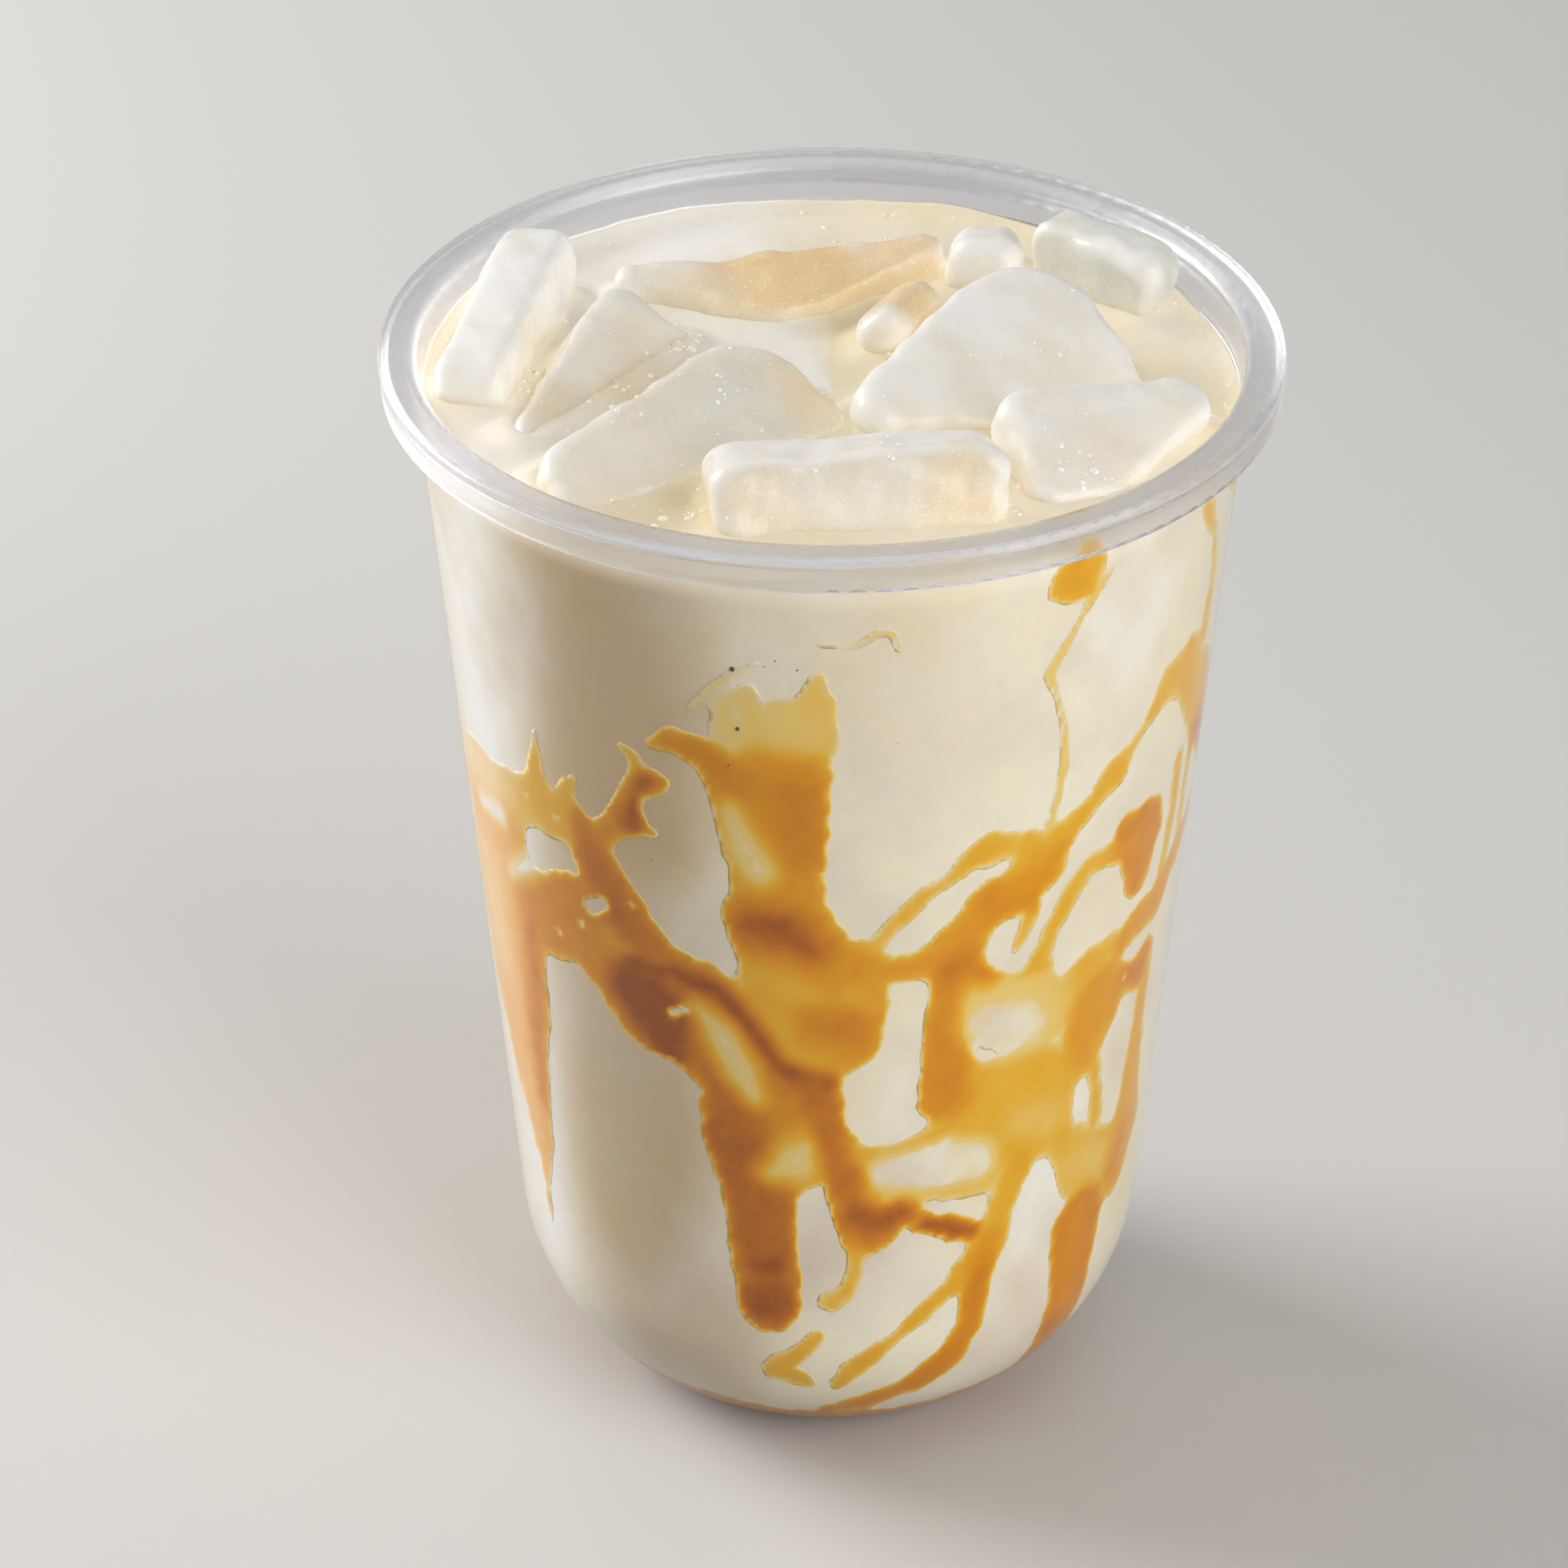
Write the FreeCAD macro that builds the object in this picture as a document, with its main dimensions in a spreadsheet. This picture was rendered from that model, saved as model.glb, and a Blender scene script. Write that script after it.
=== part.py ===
import FreeCAD, Part
import math
import os
import Sketcher

# Iced caramel latte in a clear moulded cup, in millimetres, +Z up.
# The origin is the centre of the foot ring, on the surface that the cup stands on.
#
#   cup           one moulding: foot ring, round shoulder, drafted wall and a hooked rim
#   caramel_pool  the sauce that has settled on the cup's floor
#   latte         the milky coffee above it, up to its level and cut round the ice
#   ice_*         ten lumps of half-melted ice that float at the top

Vector = FreeCAD.Vector
doc = FreeCAD.newDocument("caramel_latte")
sheet = doc.addObject("Spreadsheet::Sheet", "Sizes")

CUP_SIZES = {
    "cup_tall": 124.0,          # foot ring to the top of the rim
    "wall_thick": 0.8,
    "wall_draft": 5.3,          # degrees that the wall leans out
    "base_curve": 24.0,         # radius of the shoulder between wall and base
    "base_curve_below": 1.6,    # how far that curve would run below the foot
    "base_thick": 1.0,
    "base_recess": 1.0,         # height of the base above the foot ring
    "foot_ring_wide": 2.4,
    "gate_nub_across": 4.0,     # the mould's injection point, under the base
    "gate_nub_tall": 0.5,
    "rim_across": 95.0,         # outside of the bead
    "rim_overhang": 3.5,        # the bead beyond the outside of the wall
    "lip_flare": 1.55,          # the rim's flat top starts this far beyond the wall's inside
    "lip_round": 1.55,          # radius of the lip that leads up to it
    "rim_flange_tall": 1.3,     # thickness of the rim's flat top
    "bead_tall": 0.95,
    "bead_round": 0.6,
    "notch_tall": 0.5,          # groove between the bead and the skirt
    "notch_deep": 0.35,
    "skirt_inset": 0.3,         # the skirt's face behind the bead's
    "skirt_thick": 0.8,
    "skirt_drop": 4.1,          # rim's top to the skirt's lower edge
    "step_out": 0.3,            # stacking step on the wall, just below the skirt
    "step_tall": 0.9,
    "step_below_skirt": 0.5,
}

CONTENT_SIZES = {
    "milk_headroom": 6.0,       # rim's top down to the middle of the drink
    "milk_creep": 1.0,          # how far the drink climbs at the wall
    "milk_creep_wide": 4.0,
    "pool_deep": 2.6,           # caramel above the cup's floor
    "ice_wall_gap": 0.4,        # bed of ice to the inside of the wall
    "ice_round": 3.2,           # corners of a lump, seen on its face
    "ice_soften": 1.8,          # rounding of a lump's faces into its edge
}

# The lumps below are laid out in a bed this wide, which is then fitted to the cup's mouth.
LAID_OUT_ACROSS = 84.7

FILLET_FITS = 0.92              # most of the room beside it that a lump's rounding may take

# Half-moon lumps. left and right reach from the crest to the two ends. The left end starts
# shoulder below the crest and ends at left_tall, and the right one tapers to right_tall.
# crown is the crest's radius and thick the depth behind the face. x and y place the crest,
# rise is its height above the drink. yaw turns the face away from -Y, pitch tips it to the
# right and lean lays it back, in degrees.
MOON_SIZES = {
    "ice_middle_right": dict(left=18.8, right=13, shoulder=14, left_tall=21.5,
                             right_tall=21.5, crown=10, thick=9,
                             x=19.4, y=8.6, rise=11.1, yaw=9, pitch=5, lean=64),
    "ice_left_front": dict(left=24.5, right=11, shoulder=7.5, left_tall=17.5,
                           right_tall=15, crown=9, thick=9,
                           x=-12.6, y=-4.5, rise=8.4, yaw=30, pitch=1, lean=62),
    "ice_back": dict(left=17.5, right=18, shoulder=6.5, left_tall=10.5,
                     right_tall=10, crown=12, thick=7,
                     x=-4.6, y=16.2, rise=-4.2, yaw=8, pitch=-3, lean=-110),
}

# Block lumps. long runs along the top of the face and foot along its lower edge, which is
# slid to the right of the top by slide. The crest is the middle of the top edge.
BLOCK_SIZES = {
    "ice_front": dict(long=30.5, foot=29, slide=0, tall=12.5, thick=12.5,
                      x=2.5, y=-29.8, rise=8.8, yaw=5, pitch=-2, lean=18),
    "ice_right_front": dict(long=24, foot=12, slide=-6, tall=15, thick=6,
                            x=27.6, y=-11.3, rise=7.7, yaw=22, pitch=6, lean=64),
    "ice_right_back": dict(long=17.5, foot=15, slide=0, tall=12, thick=6.5,
                           x=27.4, y=19.4, rise=8.0, yaw=-38, pitch=2, lean=0),
    "ice_far_back": dict(long=8, foot=9, slide=0, tall=11, thick=8,
                         x=16.5, y=22.5, rise=6.5, yaw=-5, pitch=0, lean=8),
    "ice_left_middle": dict(long=29, foot=14, slide=7.5, tall=13, thick=6,
                            x=-28.2, y=0.8, rise=4.7, yaw=69, pitch=-10, lean=55),
    "ice_left": dict(long=31, foot=28, slide=0, tall=13, thick=8,
                     x=-31.0, y=8.0, rise=7.5, yaw=76, pitch=-6, lean=5),
    "ice_small": dict(long=12, foot=10, slide=0, tall=7, thick=4.5,
                      x=10.4, y=10.1, rise=3.1, yaw=62, pitch=-3, lean=-50),
}


class Size:
    """A number now, with the sheet expression that keeps it true when a size changes."""

    def __init__(self, value, text):
        self.value = float(value)
        self.text = text

    def __add__(self, other):
        other = as_size(other)
        return Size(self.value + other.value, f"({self.text} + {other.text})")

    def __sub__(self, other):
        other = as_size(other)
        return Size(self.value - other.value, f"({self.text} - {other.text})")

    def __mul__(self, other):
        other = as_size(other)
        return Size(self.value * other.value, f"({self.text} * {other.text})")

    def __truediv__(self, other):
        other = as_size(other)
        return Size(self.value / other.value, f"({self.text} / {other.text})")

    def __neg__(self):
        return Size(-self.value, f"(-1 * {self.text})")


def as_size(number):
    return number if isinstance(number, Size) else Size(number, str(number))


def sine(angle):
    return Size(math.sin(math.radians(angle.value)), f"sin({angle.text})")


def cosine(angle):
    return Size(math.cos(math.radians(angle.value)), f"cos({angle.text})")


def root(number):
    return Size(math.sqrt(number.value), f"sqrt({number.text})")


def smaller(one, other):
    return Size(min(one.value, other.value), f"min({one.text}; {other.text})")


def write_sheet(sizes):
    """Give every size a row of its own: its name, its value and an alias."""
    for row, (name, value) in enumerate(sizes.items(), start=1):
        sheet.set(f"A{row}", name)
        sheet.set(f"B{row}", str(value))
        sheet.setAlias(f"B{row}", name)


def named(name):
    return Size(sheet.get(name), f"{sheet.Name}.{name}")


ZERO = as_size(0)
all_sizes = {**CUP_SIZES, **CONTENT_SIZES}
for lump, sizes in {**MOON_SIZES, **BLOCK_SIZES}.items():
    for key, value in sizes.items():
        all_sizes[f"{lump}_{key}"] = value
write_sheet(all_sizes)
doc.recompute()


# ---------------------------------------------------------------- sketches and bodies

def new_body(label):
    body = doc.addObject("PartDesign::Body", label)
    body.Label = label
    return body


def upright_sketch(body, name):
    """A sketch on the body's own XZ plane: across is X or the radius, up is Z."""
    sketch = body.newObject("Sketcher::SketchObject", name)
    plane = [part for part in body.Origin.OriginFeatures if part.Role == "XZ_Plane"][0]
    sketch.AttachmentSupport = (plane, [""])
    sketch.MapMode = "FlatFace"
    return sketch


def constrain(sketch, constraint, size=None):
    index = sketch.addConstraint(constraint)
    if size is not None:
        sketch.setExpression(f"Constraints[{index}]", size.text)


def pin(sketch, curve, point, across, up):
    """Hold one point of a sketch at a place that the sheet gives."""
    origin = (-1, 1)
    for kind, place, axis in (("DistanceX", across, -2), ("DistanceY", up, -1)):
        if place is ZERO:
            constrain(sketch, Sketcher.Constraint("PointOnObject", curve, point, axis))
        elif place.value > 0:
            held = Sketcher.Constraint(kind, *origin, curve, point, place.value)
            constrain(sketch, held, place)
        else:
            held = Sketcher.Constraint(kind, curve, point, *origin, -place.value)
            constrain(sketch, held, -place)


def arc_between(start, end, radius, bulge_left):
    """The shorter arc from start to end; bulge_left says on which side it stands out."""
    chord = end - start
    middle = (start + end) * 0.5
    left = Vector(-chord.y, chord.x, 0).normalize()
    side = 1 if bulge_left else -1
    sagitta = radius - math.sqrt(radius ** 2 - chord.Length ** 2 / 4)
    return Part.Arc(start, middle + left * side * sagitta, end)


def outline(sketch, corners):
    """Draw a closed outline through corners, each (across, up, edge to the next one).

    An edge is None where it is straight, else (radius, bulge_left) of an arc.
    """
    points = [Vector(across.value, up.value, 0) for across, up, edge in corners]
    for index, (across, up, edge) in enumerate(corners):
        start = points[index]
        end = points[(index + 1) % len(points)]
        if edge is None:
            sketch.addGeometry(Part.LineSegment(start, end), False)
        else:
            radius, bulge_left = edge
            sketch.addGeometry(arc_between(start, end, radius.value, bulge_left), False)
    ends = [curve_ends(sketch, index, points[index]) for index in range(len(corners))]
    for index, (across, up, edge) in enumerate(corners):
        following = (index + 1) % len(corners)
        joint = Sketcher.Constraint("Coincident", index, ends[index][1],
                                    following, ends[following][0])
        constrain(sketch, joint)
        pin(sketch, index, ends[index][0], across, up)
        if edge is not None:
            radius = edge[0]
            constrain(sketch, Sketcher.Constraint("Radius", index, radius.value), radius)


def curve_ends(sketch, curve, start):
    """Which of a curve's two points the outline enters and leaves by."""
    first = sketch.getPoint(curve, 1)
    return (1, 2) if first.distanceToPoint(start) < 1e-4 else (2, 1)


def belt(sketch, rounds):
    """Draw a tight belt round circles, each (across, up, radius), listed clockwise."""
    count = len(rounds)
    touches = []
    for index in range(count):
        here = rounds[index]
        there = rounds[(index + 1) % count]
        centre = Vector(here[0].value, here[1].value, 0)
        step = Vector(there[0].value, there[1].value, 0) - centre
        swing = math.acos((here[2].value - there[2].value) / step.Length)
        normal = math.atan2(step.y, step.x) + swing
        outward = Vector(math.cos(normal), math.sin(normal), 0)
        touches.append((centre + outward * here[2].value,
                        centre + step + outward * there[2].value, normal))
    for start, end, normal in touches:
        sketch.addGeometry(Part.LineSegment(start, end), False)
    for index, (across, up, radius) in enumerate(rounds):
        arriving = touches[index - 1][2]
        leaving = touches[index][2]
        circle = Part.Circle(Vector(across.value, up.value, 0), Vector(0, 0, 1), radius.value)
        arc = count + index
        sketch.addGeometry(Part.ArcOfCircle(circle, leaving, arriving), False)
        constrain(sketch, Sketcher.Constraint("Tangent", arc, 1, index, 1))
        constrain(sketch, Sketcher.Constraint("Tangent", arc, 2, (index - 1) % count, 2))
        constrain(sketch, Sketcher.Constraint("Radius", arc, radius.value), radius)
        pin(sketch, arc, 3, across, up)


def turned(body, name, corners, kind="PartDesign::Revolution"):
    """Turn a closed outline once round the body's upright axis, to add or to cut."""
    sketch = upright_sketch(body, f"{name}_section")
    outline(sketch, corners)
    feature = body.newObject(kind, name)
    feature.Profile = sketch
    feature.ReferenceAxis = (sketch, ["V_Axis"])
    feature.Angle = 360
    doc.recompute()
    return feature


# ------------------------------------------------------------------ the cup's surfaces

draft = named("wall_draft")
slope = sine(draft) / cosine(draft)
wall = named("wall_thick")
top = named("cup_tall")
skirt_edge = top - named("skirt_drop")
flange_under = top - named("rim_flange_tall")
curve = named("base_curve")
curve_up = curve - named("base_curve_below")
inner_curve = curve - wall
floor = named("base_recess") + named("base_thick")
bead = named("rim_across") / 2


def outer_wall(up):
    return bead - named("rim_overhang") - (flange_under - up) * slope


def inner_wall(up):
    return outer_wall(up) - wall / cosine(draft)


curve_in = outer_wall(curve_up) - curve / cosine(draft)
foot_outer = curve_in + root(curve * curve - curve_up * curve_up)
foot_inner = foot_outer - named("foot_ring_wide")


def inner_shoulder(up):
    """Inside radius of the round shoulder at a height on it."""
    drop = curve_up - up
    return curve_in + root(inner_curve * inner_curve - drop * drop)


def where_wall_starts(radius):
    """The point where a shoulder curve of this radius runs into the straight wall."""
    return curve_in + radius * cosine(draft), curve_up - radius * sine(draft)


# ----------------------------------------------------------------------------- the cup

def make_cup():
    body = new_body("cup")
    outer_start = where_wall_starts(curve)
    inner_start = where_wall_starts(inner_curve)
    turned(body, "shell", [
        (ZERO, ZERO, None),
        (foot_outer, ZERO, (curve, False)),
        (*outer_start, None),
        (outer_wall(flange_under), flange_under, None),
        (inner_wall(flange_under), flange_under, None),
        (*inner_start, (inner_curve, True)),
        (inner_shoulder(floor), floor, None),
        (ZERO, floor, None),
    ])
    recess = named("base_recess")
    nub_radius = named("gate_nub_across") / 2
    nub_tip = recess - named("gate_nub_tall")
    turned(body, "base_recess_cut", [
        (ZERO, ZERO, None),
        (foot_inner, ZERO, None),
        (foot_inner - recess * slope, recess, None),
        (nub_radius, recess, None),
        (nub_radius, nub_tip, None),
        (ZERO, nub_tip, None),
    ], "PartDesign::Groove")
    turned(body, "hooked_rim", rim_corners())
    turned(body, "stacking_step", step_corners())
    return body


def rim_corners():
    """Flat top, bead, notch and hanging skirt, with a hollow groove behind the skirt."""
    bead_round = named("bead_round")
    bead_under = top - named("bead_tall")
    notch_tall = named("notch_tall")
    skirt = bead - named("skirt_inset")
    skirt_thick = named("skirt_thick")
    skirt_end = skirt_edge + skirt_thick / 2
    return [
        (inner_wall(flange_under), flange_under, (named("lip_round"), True)),
        (inner_wall(flange_under) + named("lip_flare"), top, None),
        (bead - bead_round, top, (bead_round, True)),
        (bead, top - bead_round, None),
        (bead, bead_under, None),
        (skirt - named("notch_deep"), bead_under - notch_tall / 2, None),
        (skirt, bead_under - notch_tall, None),
        (skirt, skirt_end, (skirt_thick / 2, True)),
        (skirt - skirt_thick, skirt_end, None),
        (skirt - skirt_thick, flange_under, None),
        (outer_wall(flange_under), flange_under, None),
    ]


def step_corners():
    """The low step that keeps nested cups from wedging: sloped above, square below."""
    out = named("step_out")
    upper = skirt_edge - named("step_below_skirt")
    lower = upper - named("step_tall")
    return [
        (outer_wall(upper) - wall / 2, upper, None),
        (outer_wall(upper), upper, None),
        (outer_wall(upper - out) + out, upper - out, None),
        (outer_wall(lower) + out, lower, None),
        (outer_wall(lower) - wall / 2, lower, None),
    ]


# ------------------------------------------------------------------------ what fills it

milk_level = top - named("milk_headroom")
pool_level = floor + named("pool_deep")


def make_pool():
    body = new_body("caramel_pool")
    turned(body, "pool", [
        (ZERO, floor, None),
        (inner_shoulder(floor), floor, (inner_curve, False)),
        (inner_shoulder(pool_level), pool_level, None),
        (ZERO, pool_level, None),
    ])
    return body


def make_fill():
    """The drink before the ice is cut out of it, with the curl where it wets the wall."""
    body = new_body("latte_fill")
    creep = named("milk_creep")
    creep_wide = named("milk_creep_wide")
    creep_round = (creep_wide * creep_wide + creep * creep) / (creep * 2)
    edge = milk_level + creep
    turned(body, "fill", [
        (ZERO, pool_level, None),
        (inner_shoulder(pool_level), pool_level, (inner_curve, False)),
        (*where_wall_starts(inner_curve), None),
        (inner_wall(edge), edge, (creep_round, True)),
        (inner_wall(edge) - creep_wide, milk_level, None),
        (ZERO, milk_level, None),
    ])
    return body


# ---------------------------------------------------------------------------- the ice

# The bed of lumps is laid out in one circle and grows or shrinks with the cup's mouth.
bed = (inner_wall(milk_level) - named("ice_wall_gap")) / (LAID_OUT_ACROSS / 2)


def make_lump(label, rounds):
    """Pad a lump's face backwards, soften it and float it at its place."""
    body = new_body(f"{label}_whole")
    sketch = upright_sketch(body, f"{label}_face")
    belt(sketch, rounds)
    pad = body.newObject("PartDesign::Pad", f"{label}_block")
    pad.Profile = sketch
    pad.Reversed = True
    pad.setExpression("Length", (named(f"{label}_thick") * bed).text)
    doc.recompute()
    soft = body.newObject("PartDesign::Fillet", f"{label}_soft")
    soft.Base = (pad, ["Face1"])
    soft.UseAllEdges = True
    corner = min(rounds, key=lambda each: each[2].value)[2]
    most = smaller(corner, named(f"{label}_thick") * bed / 2) * FILLET_FITS
    soft.setExpression("Radius", smaller(named("ice_soften") * bed, most).text)
    x, y, rise = [named(f"{label}_{key}") * bed for key in ("x", "y", "rise")]
    yaw, pitch, lean = [named(f"{label}_{key}") for key in ("yaw", "pitch", "lean")]
    place = f"vector({x.text}; {y.text}; {(milk_level + rise).text})"
    turn = f"rotation({yaw.text}; {pitch.text}; {(-lean).text})"
    body.setExpression("Placement", f"placement({place}; {turn})")
    doc.recompute()
    return body


def moon_rounds(label):
    left, right, shoulder, left_tall, right_tall, crown = [
        named(f"{label}_{key}") * bed
        for key in ("left", "right", "shoulder", "left_tall", "right_tall", "crown")]
    corner = smaller(named("ice_round") * bed, (left_tall - shoulder) / 2 * FILLET_FITS)
    return [
        (ZERO, -crown, crown),
        (right - corner, corner - right_tall, corner),
        (corner - left, corner - left_tall, corner),
        (corner - left, -shoulder - corner, corner),
    ]


def block_rounds(label):
    long, foot, slide, tall = [named(f"{label}_{key}") * bed
                               for key in ("long", "foot", "slide", "tall")]
    shortest = smaller(smaller(long, foot), tall)
    corner = smaller(named("ice_round") * bed, shortest / 2 * FILLET_FITS)
    return [
        (corner - long / 2, -corner, corner),
        (long / 2 - corner, -corner, corner),
        (slide + foot / 2 - corner, corner - tall, corner),
        (slide - foot / 2 + corner, corner - tall, corner),
    ]


def make_ice_room():
    """The space that ice can float in: the inside of the cup less a gap at the wall."""
    body = new_body("ice_room")
    gap = named("ice_wall_gap")
    above = top + curve
    turned(body, "room", [
        (ZERO, curve_up, None),
        (inner_wall(curve_up) - gap, curve_up, None),
        (inner_wall(above) - gap, above, None),
        (ZERO, above, None),
    ])
    return body


def combine(kind, label, base, tool):
    """A boolean of two objects, as an object of its own."""
    result = doc.addObject(f"Part::{kind}", label)
    result.Label = label
    result.Base = base
    result.Tool = tool
    doc.recompute()
    return result


def settle(wholes, room):
    """Keep every lump inside the cup, and let each give way to those made before it."""
    lumps = []
    for label, whole in wholes.items():
        lump = combine("Common", label, whole, room)
        room = combine("Cut", f"room_beside_{label}", room, lump)
        lumps.append(lump)
    return lumps


def make_latte(lumps):
    """The drink with every lump's place cut out of it."""
    ice = doc.addObject("Part::MultiFuse", "ice_together")
    ice.Shapes = lumps
    return combine("Cut", "latte", make_fill(), ice)


# ---------------------------------------------------------------------- build and write

cup = make_cup()
pool = make_pool()
wholes = {label: make_lump(label, moon_rounds(label)) for label in MOON_SIZES}
wholes.update({label: make_lump(label, block_rounds(label)) for label in BLOCK_SIZES})
lumps = settle(wholes, make_ice_room())
latte = make_latte(lumps)
doc.recompute()

for item in doc.Objects:
    failed = [state for state in item.State if state in ("Invalid", "Error")]
    if failed:
        raise RuntimeError(f"{item.Label} did not build: {failed}")
    if item.isDerivedFrom("Sketcher::SketchObject") and not item.FullyConstrained:
        raise RuntimeError(f"{item.Label} is not fully constrained")

parts = [cup, pool, latte] + lumps
os.makedirs("parts", exist_ok=True)
for part in parts:
    shape = part.Shape
    if shape.isNull() or not shape.isValid() or len(shape.Solids) != 1:
        raise RuntimeError(f"{part.Label} is not one sound solid")
    shape.exportStep(os.path.join("parts", f"{part.Label}.step"))
    print(f"{part.Label}: {shape.Volume / 1000:.2f} ml")
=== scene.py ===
import math

import bmesh
import bpy
import numpy as np
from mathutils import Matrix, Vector
from mathutils.bvhtree import BVHTree


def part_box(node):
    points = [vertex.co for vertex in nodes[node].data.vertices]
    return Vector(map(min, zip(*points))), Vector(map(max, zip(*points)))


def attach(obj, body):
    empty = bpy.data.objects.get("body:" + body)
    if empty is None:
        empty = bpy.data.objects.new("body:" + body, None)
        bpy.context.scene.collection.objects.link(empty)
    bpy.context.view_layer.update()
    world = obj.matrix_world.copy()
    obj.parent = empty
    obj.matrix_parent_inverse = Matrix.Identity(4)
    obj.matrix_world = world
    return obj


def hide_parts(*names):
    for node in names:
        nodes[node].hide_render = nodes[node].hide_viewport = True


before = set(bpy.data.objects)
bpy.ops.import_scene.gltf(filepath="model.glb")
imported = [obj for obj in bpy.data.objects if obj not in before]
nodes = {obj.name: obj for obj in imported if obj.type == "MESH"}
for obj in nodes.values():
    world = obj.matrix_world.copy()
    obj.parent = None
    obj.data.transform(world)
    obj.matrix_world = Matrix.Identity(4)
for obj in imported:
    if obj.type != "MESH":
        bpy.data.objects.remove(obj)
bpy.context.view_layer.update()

# The looks of an iced caramel latte, in metres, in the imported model's frame.
#
#   clear cup            the CAD node, with a clear plastic material
#   milky_coffee         replaces latte: its wet, uneven top curls up at the cup and the ice
#   sauce_on_floor       replaces caramel_pool
#   sauce_on_wall        the caramel run down between the drink and the wall
#   ice_*_melted         replace the ten lumps: half melted, frosted, under a film of milk
#   foam_bubbles, ice_beads, coffee_specks
#                        what is scattered on the drink, the ice and the wall

MM = 0.001
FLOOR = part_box("caramel_pool")[0][2]
POOL_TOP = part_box("latte")[0][2]
MILK_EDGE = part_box("latte")[1][2]
MILK_CREEP = 1.0 * MM           # how far the CAD's drink climbs at the wall
MILK_TOP = MILK_EDGE - MILK_CREEP
BITE = 0.2 * MM                 # how far what fills the cup reaches into its wall
AROUND = 288                    # columns of a turned surface
LUMPS = sorted(name for name in nodes if name.startswith("ice_"))


# ------------------------------------------------------------------------ small helpers

def rough_waves(points, size, seed, layers=3):
    """Smooth random waves over points, about -1 to 1: a sum of sines in seeded directions."""
    rng = np.random.default_rng(seed)
    total = np.zeros(len(points))
    weight = 0.0
    for layer in range(layers):
        share = 0.5 ** layer
        for _ in range(5):
            direction = rng.normal(size=points.shape[1])
            direction *= 2 * math.pi * 2 ** layer / (size * np.linalg.norm(direction))
            total += share * np.sin(points @ direction + rng.uniform(0, 2 * math.pi))
        weight += share * math.sqrt(5 / 2) * 1.6
    return total / weight


def smooth_step(low, high, value):
    """0 below low, 1 above high, and a smooth rise between them."""
    share = np.clip((value - low) / (high - low), 0, 1)
    return share * share * (3 - 2 * share)


def new_piece(name, points, faces, material, replaced=()):
    """A smooth-shaded mesh object that rides on the root body."""
    mesh = bpy.data.meshes.new(name)
    mesh.from_pydata([tuple(point) for point in points], [], faces)
    mesh.validate()
    mesh.polygons.foreach_set("use_smooth", [True] * len(mesh.polygons))
    mesh.update()
    piece = bpy.data.objects.new(name, mesh)
    bpy.context.scene.collection.objects.link(piece)
    return dress(piece, material, replaced)


def dress(piece, material, replaced=()):
    """Give a piece its material, hang it on the root body and hide the parts it replaces."""
    piece.data.materials.clear()
    piece.data.materials.append(material)
    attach(piece, "root")
    if replaced:
        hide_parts(*replaced)
    return piece


def paint(piece, name, values):
    """Store one number per vertex, for the piece's material to read."""
    layer = piece.data.attributes.new(name, "FLOAT", "POINT")
    layer.data.foreach_set("value", np.asarray(values, dtype=np.float32))


def vertex_array(mesh, what="co"):
    """The positions or normals of the mesh's vertices, as an (n, 3) array."""
    values = np.empty(len(mesh.vertices) * 3)
    mesh.vertices.foreach_get(what, values)
    return values.reshape(-1, 3)


# --------------------------------------------------------------- the inside of the cup

def measure_inside():
    """Heights and inside radii of the cup, from rays sent outwards from its axis."""
    cup = nodes["cup"].data
    tree = BVHTree.FromPolygons([v.co for v in cup.vertices], [p.vertices for p in cup.polygons])
    heights = np.arange(FLOOR + 0.05 * MM, MILK_EDGE + 3 * MM, 0.25 * MM)
    outwards = Vector((math.cos(0.01), math.sin(0.01), 0))
    radii = []
    for height in heights:
        place, normal, face, distance = tree.ray_cast(Vector((0, 0, height)), outwards)
        radii.append(distance)
    return heights, np.array(radii)


INSIDE_HEIGHTS, INSIDE_RADII = measure_inside()


def inside_radius(height):
    """The cup's inside radius at each height."""
    return np.interp(height, INSIDE_HEIGHTS, INSIDE_RADII)


def on_wall(azimuth, height, outwards=BITE):
    """Points on the inside of the wall. Azimuth 0 is the shown side, -Y, and 90 is +X."""
    radius = inside_radius(height) + outwards
    angle = np.radians(azimuth)
    return np.stack([radius * np.sin(angle), -radius * np.cos(angle), height], -1)


def turned_piece(name, rings, material, replaced=()):
    """Close a stack of rings, each an (AROUND, 3) array, with a fan at both ends."""
    count = len(rings)
    points = np.concatenate(rings + [rings[0].mean(0)[None], rings[-1].mean(0)[None]])
    faces = []
    for row in range(count - 1):
        for column in range(AROUND):
            after = (column + 1) % AROUND
            low, high = row * AROUND, (row + 1) * AROUND
            faces.append((low + column, low + after, high + after, high + column))
    start, end, last = count * AROUND, count * AROUND + 1, (count - 1) * AROUND
    for column in range(AROUND):
        after = (column + 1) % AROUND
        faces.append((start, after, column))
        faces.append((end, last + column, last + after))
    return new_piece(name, points, faces, material, replaced)


def ring(radius, height):
    """One row of a turned surface; radius and height may vary along it."""
    angle = np.arange(AROUND) * 2 * math.pi / AROUND
    flat = np.broadcast_to(radius, AROUND)
    return np.stack([flat * np.cos(angle), flat * np.sin(angle),
                     np.broadcast_to(height, AROUND)], -1)


# ---------------------------------------------------------------------------- materials

def new_material(name, **sockets):
    """A material and its Principled shader, with plain values set on its own sockets."""
    material = bpy.data.materials.new(name)
    material.use_nodes = True
    shader = material.node_tree.nodes["Principled BSDF"]
    for socket, value in sockets.items():
        shader.inputs[socket.replace("_", " ")].default_value = value
    return material, shader


def add(material, kind, **settings):
    """A new node in a material, or in the world."""
    node = material.node_tree.nodes.new(kind)
    for name, value in settings.items():
        setattr(node, name, value)
    return node


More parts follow.
